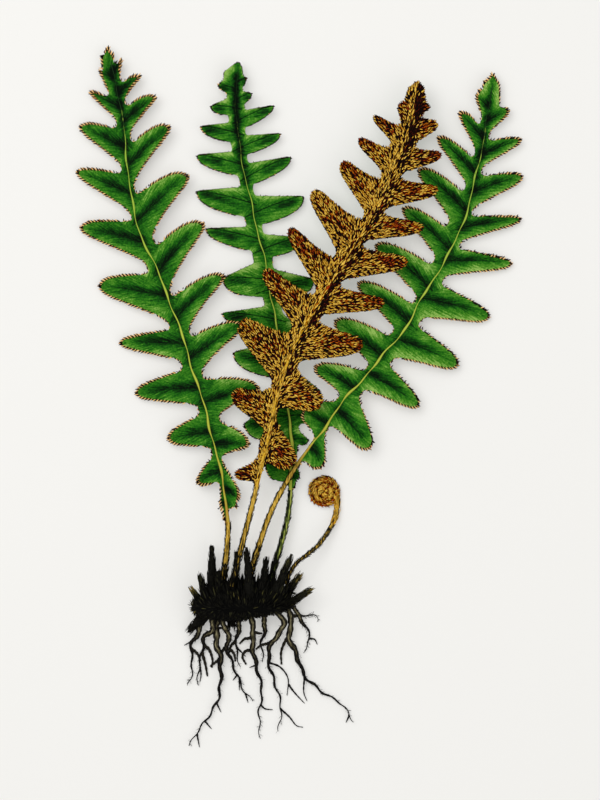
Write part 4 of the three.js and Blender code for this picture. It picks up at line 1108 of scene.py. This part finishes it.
# Black scales on both flanks of the stalk: real scales that also darken its outline as painted shade.
edges = [clothed(stem_line, stem_radius, 80, (0.5, 0.9), (0.16, 0.26), fleck_tone, arc=arc, rise=(0.2, 0.6),
                 finish=2) for arc in ((-0.6, 0.7), (math.pi - 0.7, math.pi + 0.6))]
make_piece("coiled_crozier", [stem, coil_rod, disc, swirl(HEAD_SCALES), beard, collar, *edges],
           [stalk_skin, rusty_scales, black_scales], "crozier")

# %% [markdown]
# ## Rootstock
#
# The rootstock is a short creeping stem buried in narrow black scales, with the sheathed stubs of last
# years' stalks standing round its crown. The lump under the scales has the same formula as the solid.
# Most of the look is in its scales: they all lean up towards the fronds, fan out at both ends, and turn
# down among the roots, and long fibres rise from the crown between the stalks. A few scales have
# weathered to brown and ochre, as have five of the stubs.

# %% Rootstock
HUMP_CENTRE = np.array([0.3, -0.9, 5.0])
HUMP_HALF = np.array([12.8, 4.1, 5.7])
HUMP_TILT = 0.09
HUMP_SCALES = 2400
CROWN_FIBRES = 420
HIGHEST = 11.4
STUBS = [  # foot, tip and radius
    ((-8, 1, 4), (-7.9, 13.6, 3.5), 1.15), ((-2.2, 1, 3.4), (-1.6, 12, 2), 0.8),
    ((1.6, 0, 9), (0.9, 13.4, 9.4), 1.25), ((4.4, 1, 7), (5.9, 11, 8), 0.95),
    ((7.6, 1, 7.2), (12.2, 11.6, 8.2), 1.15), ((9.5, 0, 3), (14.3, 6.2, 1.8), 1.1),
    ((9.6, -2, 5), (17.2, 2.8, 5.4), 1.1), ((-9.4, 0, 6), (-10.7, 6.2, 6.6), 0.9),
    ((-10, -1.5, 3.6), (-12.8, 2.4, 3), 0.6), ((-8.6, -2.6, 4), (-13.8, -8.2, 1.6), 1.5),
    ((-3, -3, 3), (-2.8, -6.8, 1.6), 1.5), ((-6, 1, 7), (-6.2, 7.4, 8), 0.9)]
STUB_OCHRE = {5: 0.8, 6: 0.6, 8: 0.9, 7: 0.3, 4: 0.35}
DARK_STUB = 0.12


def hump(u, v):
    """Spots and outward directions on the rootstock: u from -1 to 1 along it, v the angle round it."""
    ball = np.column_stack([u, np.sqrt(1 - u**2) * np.cos(v), np.sqrt(1 - u**2) * np.sin(v)])
    swell = 1 + 0.09 * np.sin(5 * ball[:, 0] + 2 * ball[:, 2]) * np.cos(4 * ball[:, 1])
    spots = HUMP_CENTRE + ball * HUMP_HALF * swell[:, None] * 0.96
    spots[:, 1] += HUMP_TILT * spots[:, 0]
    return spots, unit(ball / HUMP_HALF)


def hump_shell(rings=26, sides=30):
    """The lump under the scales, flat where it rests."""
    u = -np.cos(np.linspace(0, math.pi, rings))
    v = np.arange(sides) * 2 * math.pi / sides
    points, _ = hump(np.repeat(u[1:-1], sides), np.tile(v, rings - 2))
    ends, _ = hump(np.array([-1.0, 1.0]), np.zeros(2))
    k = np.arange(sides)
    first, last, top = len(points), len(points) + 1, (rings - 3) * sides
    faces = np.vstack([
        tube_faces(rings - 2, sides),
        np.column_stack([k * 0 + first, (k + 1) % sides, k]),
        np.column_stack([k * 0 + last, top + k, top + (k + 1) % sides])])
    points = np.vstack([points, ends])
    points[:, 2] = np.maximum(points[:, 2], 0.0)
    return shell(points, faces, tone=0.3, ridge=0.3, reach=0.5)


def hump_scales(count):
    """Black scales all over the lump, the worn ones at its ends paler, and none above its highest point."""
    u, v = draw.uniform(-0.97, 0.97, count), draw.uniform(0, 2 * math.pi, count)
    spots, out = hump(u, v)
    keep = spots[:, 2] > 0.8
    spots, out, u, v = spots[keep], out[keep], u[keep], v[keep]
    count = len(spots)
    down = np.clip((-1.2 - spots[:, 1]) / 1.6, 0, 1)
    ahead = np.column_stack([u * 0.9, 1 - 2.0 * down, np.zeros(count)]) + draw.normal(0, 0.16, (count, 3))
    ahead = unit(ahead - out * np.sum(ahead * out, axis=1)[:, None])
    ahead = ahead + out * draw.uniform(0.12, 0.4, count)[:, None]
    worn = np.clip((np.abs(u) - 0.8) / 0.17, 0, 1) * draw.uniform(0, 1, count)
    fibre = draw.random(count) < 0.1
    length = draw.uniform(1.8, 3.2, count) * (1 - 0.35 * down)
    room = np.clip((HIGHEST - spots[:, 2]) / length, 0.02, 1) - 0.01
    ahead[:, 2] = np.minimum(ahead[:, 2], room * 1.1)
    return scale_shell(spots - out * 0.15, ahead, out, length, draw.uniform(0.26, 0.46, count),
                       tone=0.4 + draw.normal(0, 0.07, count) + 0.28 * fibre + 0.3 * worn, bow=0.03)


def crown_fibres(count):
    """Long black scales that rise from the crown between the stalks, fanning out a little."""
    x, z = draw.uniform(-9.5, 10.5, count), draw.uniform(0.9, 8.5, count)
    rest = 1 - ((x - HUMP_CENTRE[0]) / HUMP_HALF[0])**2 - ((z - HUMP_CENTRE[2]) / HUMP_HALF[2])**2
    y = HUMP_CENTRE[1] + HUMP_HALF[1] * np.sqrt(np.clip(rest, 0.05, 1)) + HUMP_TILT * x - 0.7
    ahead = np.column_stack([
        0.05 * x + draw.normal(0, 0.08, count), np.ones(count), draw.normal(0, 0.05, count)])
    tone = 0.38 + draw.normal(0, 0.06, count) + 0.3 * (draw.random(count) < 0.12)
    return scale_shell(np.column_stack([x, y, z]), ahead, (0, 0, 1), draw.uniform(2.2, 4.6, count),
                       draw.uniform(0.34, 0.56, count), tone=tone, bow=0.02)


stubs = []
for number, (foot, tip, radius) in enumerate(STUBS):
    worn = STUB_OCHRE.get(number, DARK_STUB)
    line = smooth_line([foot, (np.array(foot) + tip) / 2 + [0.15, 0, 0.1], tip], 24)
    way = np.linspace(0, 1, 24)
    girth = radius + (0.36 - radius) * way**2 + 0.08 * np.sin(way * 21 + number)
    stubs.append(rod(line, girth, tone=0.36 + worn * 0.45 * way, ridge=0.4, reach=0.5))
    stubs.append(clothed(line, girth, 110, (1.4, 2.4), (0.24, 0.42),
                         lambda way, turn: 0.42 + worn * np.clip(way - 0.3, 0, 1) * 1.3, rise=(0.0, 0.1),
                         spread=0.07, part=(0, 0.86)))
make_piece("scaly_rootstock", [hump_shell(), hump_scales(HUMP_SCALES), crown_fibres(CROWN_FIBRES), *stubs],
           [black_scales], "rhizome")

# %% [markdown]
# ## Roots
#
# The roots are wiry and wander, knobbly where they are thick, and thin to threads that fork. They are
# dark brown, nearly black, wrinkled along their length, with a painted highlight of paler olive along
# their top. Each is a rod with an uneven width, its thicker side branches, its thin rootlets, and short
# hairs.

# %% Roots
ROOTS = [  # height at the rootstock, radius, path, side branches, rootlets
    (3, 0.7, [(-9.4, -3.2), (-11, -7.8), (-12.8, -10.8), (-13, -14.2), (-12.8, -18), (-13.8, -21.5)],
     [[(-12.9, -12.4), (-11.6, -13.6), (-10.7, -15.6)]],
     [[(-12.7, -10.6), (-14.8, -11.6)]]),
    (6, 0.7, [(-7.6, -3.2), (-7.8, -7.4), (-9.7, -9.6), (-10.2, -12.4), (-11, -16.2), (-11.5, -21.6)],
     [[(-10, -11.4), (-8.6, -12.6), (-7.7, -15.4), (-7.9, -17.2)],
      [(-10.4, -13.4), (-9.5, -16.4), (-9, -19.4)]],
     [[(-11.2, -17), (-10.6, -19), (-10.9, -20.8)]]),
    (6.6, 0.7, [(-4.8, -3.4), (-5.2, -6), (-3.5, -8.4), (-4.2, -11.6), (-3, -15.4), (-1.2, -19.8),
                (0.4, -23.4), (2.4, -25.6)],
     [[(-4.2, -12.2), (-3, -12.8), (-2.2, -14), (-2, -15.6)], [(-4.3, -11.4), (-5.2, -13), (-5.4, -14.8)]],
     [[(-1.5, -19), (-2.6, -20.4)], [(-1.2, -20), (-1, -22.8)], [(0.6, -23.6), (1.2, -26)]]),
    (3, 0.75, [(-5.9, -3.6), (-6.8, -9.8), (-5.8, -14.4), (-5.8, -22), (-6.6, -25.8), (-10.4, -31.8),
               (-11.9, -33.8), (-13.5, -36.8)],
     [[(-6.8, -10.6), (-7.2, -8.4), (-5.6, -7.2), (-4.2, -8.4)],
      [(-5.8, -14.6), (-6.9, -15.8), (-8.3, -16.9)]],
     [[(-11.8, -33.6), (-11, -37.2)], [(-6.8, -26), (-5.6, -28.4)], [(-9.6, -30.6), (-8, -32.6)]]),
    (3, 0.65, [(-0.8, -4), (-1.4, -8.8), (-1.8, -12.2), (-0.8, -17)],
     [[(-1.7, -10.6), (-3, -11.6), (-3.6, -13.6)]], [[(-1.7, -12), (0.6, -14.4)]]),
    (6, 0.7, [(1.6, -3.6), (2.7, -7.6), (2.3, -10), (2.8, -14.6), (4.7, -23.2), (4, -28), (4.2, -35)],
     [[(2.2, -9.4), (1.2, -9.8), (0.4, -9.9), (-0.9, -11.2)],
      [(2.6, -13), (0.8, -12.9), (-0.2, -14.4), (0.7, -16.4)], [(2.8, -8), (4, -8.5), (4.7, -8.6)]],
     [[(3.4, -16.4), (1.6, -17.2)], [(4, -26.4), (5.4, -27.5), (7.4, -27.8)]]),
    (3, 0.65, [(5.2, -3.6), (5.4, -7.4), (4.6, -10.8), (5, -15.8)], [], []),
    (6, 0.7, [(8.4, -2.6), (10.2, -6.4), (7.2, -10.8), (6.3, -15), (7.4, -19.4), (9.5, -27), (8.8, -33.2)],
     [[(7.2, -10.8), (5.6, -11.2), (4.4, -11.6), (3.2, -12.6)]],
     [[(9.4, -27.4), (11.6, -29.6), (13.4, -31.8), (15, -32.2)],
      [(6.6, -15.8), (9.2, -17), (11.2, -19.8), (11, -24.2)], [(11.4, -21.4), (12.8, -23.4), (15.4, -26.2)]]),
    (3.2, 0.75, [(11, -2), (12.2, -5.4), (11.4, -8.6), (13.8, -15), (15.5, -19.3), (21.2, -24.2),
                 (24.6, -26.2), (26.8, -29.4), (27.8, -30.8)],
     [[(11.5, -8.6), (10.2, -11.2), (9.5, -13.4), (9.6, -16.4)]],
     [[(15.4, -19.4), (15.2, -23.4), (16, -25.6)], [(26.6, -29.2), (25.8, -31)]]),
    (3, 0.5, [(10.8, -1.6), (12.6, -4.2), (14.8, -4.2), (16.6, -3.8), (18, -4.2), (18.7, -5.4)], [], []),
    (2.6, 0.55, [(12.6, -1.8), (14.3, -4.8), (15.8, -7), (16.6, -10), (16.2, -11.6), (14.9, -13.4)],
     [], [[(16.6, -10), (17.9, -10.1), (18.6, -11.4)]]),
]
ROOT_TAPER = ([0, 0.3, 0.5, 0.75, 1], [1.1, 0.97, 0.54, 0.33, 0.14])
BRANCH_ENDS = (0.48, 0.24)
ROOTLET_ENDS = (0.3, 0.1)
WANDER = 0.28
WANDER_LENGTH = 5.2
WRINKLES_A_ROOT = 24.0
WRINKLES_ROUND_IT = 4.5

root_skin, skin = new_finish("wiry_root_bark")
way, crest, side = (
    add(root_skin, "Attribute", out="Fac", attribute_name=key) for key in ("way", "crest", "side"))
round_it = add(root_skin, "CombineXYZ", {"X": way, "Y": crest, "Z": side})
wrinkles = add(root_skin, "Mapping", {
    "Vector": round_it, "Scale": (WRINKLES_A_ROOT, WRINKLES_ROUND_IT, WRINKLES_ROUND_IT)})
knots = add(root_skin, "TexNoise", {"Vector": wrinkles, "Scale": 1.0, "Detail": 3.0})
# Painted highlight: each root is paler olive along its top.
crest_highlight = add(root_skin, "MapRange", {
    "Value": crest, "From Min": 0.8, "From Max": 0.97, "To Min": 0.05, "To Max": 0.64})
thinner = add(root_skin, "MapRange", {
    "Value": way, "From Min": 0.22, "From Max": 0.5, "To Min": 0.0, "To Max": -0.7})
tone = add(root_skin, "Math", {0: crest_highlight, 1: thinner}, operation="ADD")
barks = add(root_skin, "ValToRGB", {0: mottle(root_skin, tone, (knots, 2.8))}, stops=[
    (0.0, "070504"), (1.0, "958C6A"), (0.3, "15120D"), (0.6, "4E4830")])
root_bump = add(root_skin, "Bump", {"Height": knots, "Strength": 0.6, "Distance": 0.15 * MM})
fill(root_skin, skin, {
    "Base Color": barks, "Normal": root_bump, "Roughness": 0.7, "Specular IOR Level": 0.12})


def root_line(height, radius, path, start):
    """A root's middle line: it comes down from the rootstock in a curve and wanders along the ground."""
    lift, last = height - radius, len(path) - 2
    line = smooth_line([(x, y, radius + lift * (1 - min(i / last, 1))**2) for i, (x, y) in enumerate(path)],
                       14 * len(path))
    gone = travelled(line)
    sway = WANDER * np.sin(gone * 2 * math.pi / WANDER_LENGTH + start) * np.clip(gone / 4, 0, 1)
    line[:, :2] += left_of(unit(np.gradient(line[:, :2], axis=0))) * sway[:, None]
    return line


for number, (height, radius, path, branches, rootlets) in enumerate(ROOTS):
    line = root_line(height, radius, path, number * 2.4)
    way = np.linspace(0, 1, len(line))
    knobs = 1 + 0.1 * np.sin(way * 60 + number * 2) + 0.08 * np.sin(way * 131)
    girth = radius * np.interp(way, *ROOT_TAPER) * knobs
    hairs = clothed(line, girth, 6 * len(path), (0.5, 1.1), (0.1, 0.18), 0.4, rise=(0.6, 1.6), spread=0.5,
                    part=(0.15, 1), finish=1, thick=0.06)
    parts = [rod(line, girth, sides=14, way=way), hairs]
    built = line
    twigs = [(spots, BRANCH_ENDS, 0.3) for spots in branches]
    twigs += [(spots, ROOTLET_ENDS, 0.55) for spots in rootlets]
    for spots, ends, darkness in twigs:
        (start,), _ = nearest_of(built, [spots[0]])
        drop = np.linspace(built[start, 2], 0.3, len(spots))[1:]
        twig = smooth_line([tuple(built[start]), *[(*p, z) for p, z in zip(spots[1:], drop)]], 8 * len(spots))
        built = np.vstack([built, twig])
        slim = np.linspace(*ends, len(twig)) * (1 + 0.15 * np.sin(np.arange(len(twig)) * 1.3))
        twig[:, 2] = np.maximum(twig[:, 2], slim)
        parts.append(rod(twig, slim, sides=8, way=darkness))
    make_piece(f"wiry_root_{number + 1:02d}", parts, [root_skin, black_scales], f"root_{number + 1:02d}")

# %% [markdown]
# ## Studio
#
# The plant lies on a sheet of pale paper, under a large soft light and an even sky, so the shadows
# stay faint. The camera looks straight down on it from a good way off with a long lens, which keeps
# the fronds in the proportions of a flat plate.

# %% Paper, lights and camera
VIEW_CENTRE = (14.25 * MM, 50 * MM)
VIEW_HEIGHT = 200 * MM
PLANT_LEVEL = 5 * MM
LENS = 180
SENSOR = 36
PAPER = 3.0
PAPER_GRAIN = 0.8
GLOW = 0.38
SKY = 0.42

paper_finish, skin = new_finish("matt_paper")
place = add(paper_finish, "TexCoord", out="Object")
grain = add(paper_finish, "TexNoise", {"Vector": place, "Scale": 1 / (PAPER_GRAIN * MM), "Detail": 4.0})
paper_bump = add(paper_finish, "Bump", {"Height": grain, "Strength": 0.2, "Distance": 0.03 * MM})
fill(paper_finish, skin, {
    "Base Color": linear("C4C3C0"), "Normal": paper_bump, "Roughness": 0.9,
    "Emission Color": linear("F4F3EF"), "Emission Strength": GLOW})
paper_mesh = bpy.data.meshes.new("paper")
paper_mesh.from_pydata([(x * PAPER, y * PAPER, 0) for x, y in ((-1, -1), (1, -1), (1, 1), (-1, 1))], [],
                       [(0, 1, 2, 3)])
paper_mesh.materials.append(paper_finish)
paper = new_object("paper", paper_mesh)

LIGHTS = {
    "overhead_softbox": dict(place=(-0.25, 0.3, 0.75), size=0.7, watts=4.5),
    "fill_softbox": dict(place=(0.5, -0.3, 0.7), size=0.9, watts=1.8),
}
middle = Vector((VIEW_CENTRE[0], VIEW_CENTRE[1], 0))
for name, light in LIGHTS.items():
    lamp = bpy.data.lights.new(name, "AREA")
    lamp.energy, lamp.size = light["watts"], light["size"]
    holder = new_object(name, lamp)
    holder.location = light["place"]
    holder.rotation_euler = (middle - holder.location).to_track_quat("-Z", "Y").to_euler()

sky = bpy.data.worlds.new("even_sky")
sky.use_nodes = True
fill(sky, sky.node_tree.nodes["Background"], {"Color": (1, 1, 1, 1), "Strength": SKY})
bpy.context.scene.world = sky
bpy.context.scene.view_settings.view_transform = "Standard"

lens = bpy.data.cameras.new("plate_camera")
lens.lens, lens.sensor_width = LENS, SENSOR
camera = new_object("plate_camera", lens)
camera.location = (*VIEW_CENTRE, PLANT_LEVEL + VIEW_HEIGHT * LENS / SENSOR)
bpy.context.scene.camera = camera
print("camera height, m:", round(camera.location.z, 3))

# %% [markdown]
# ## The end

# %% Finish
bpy.context.view_layer.update()
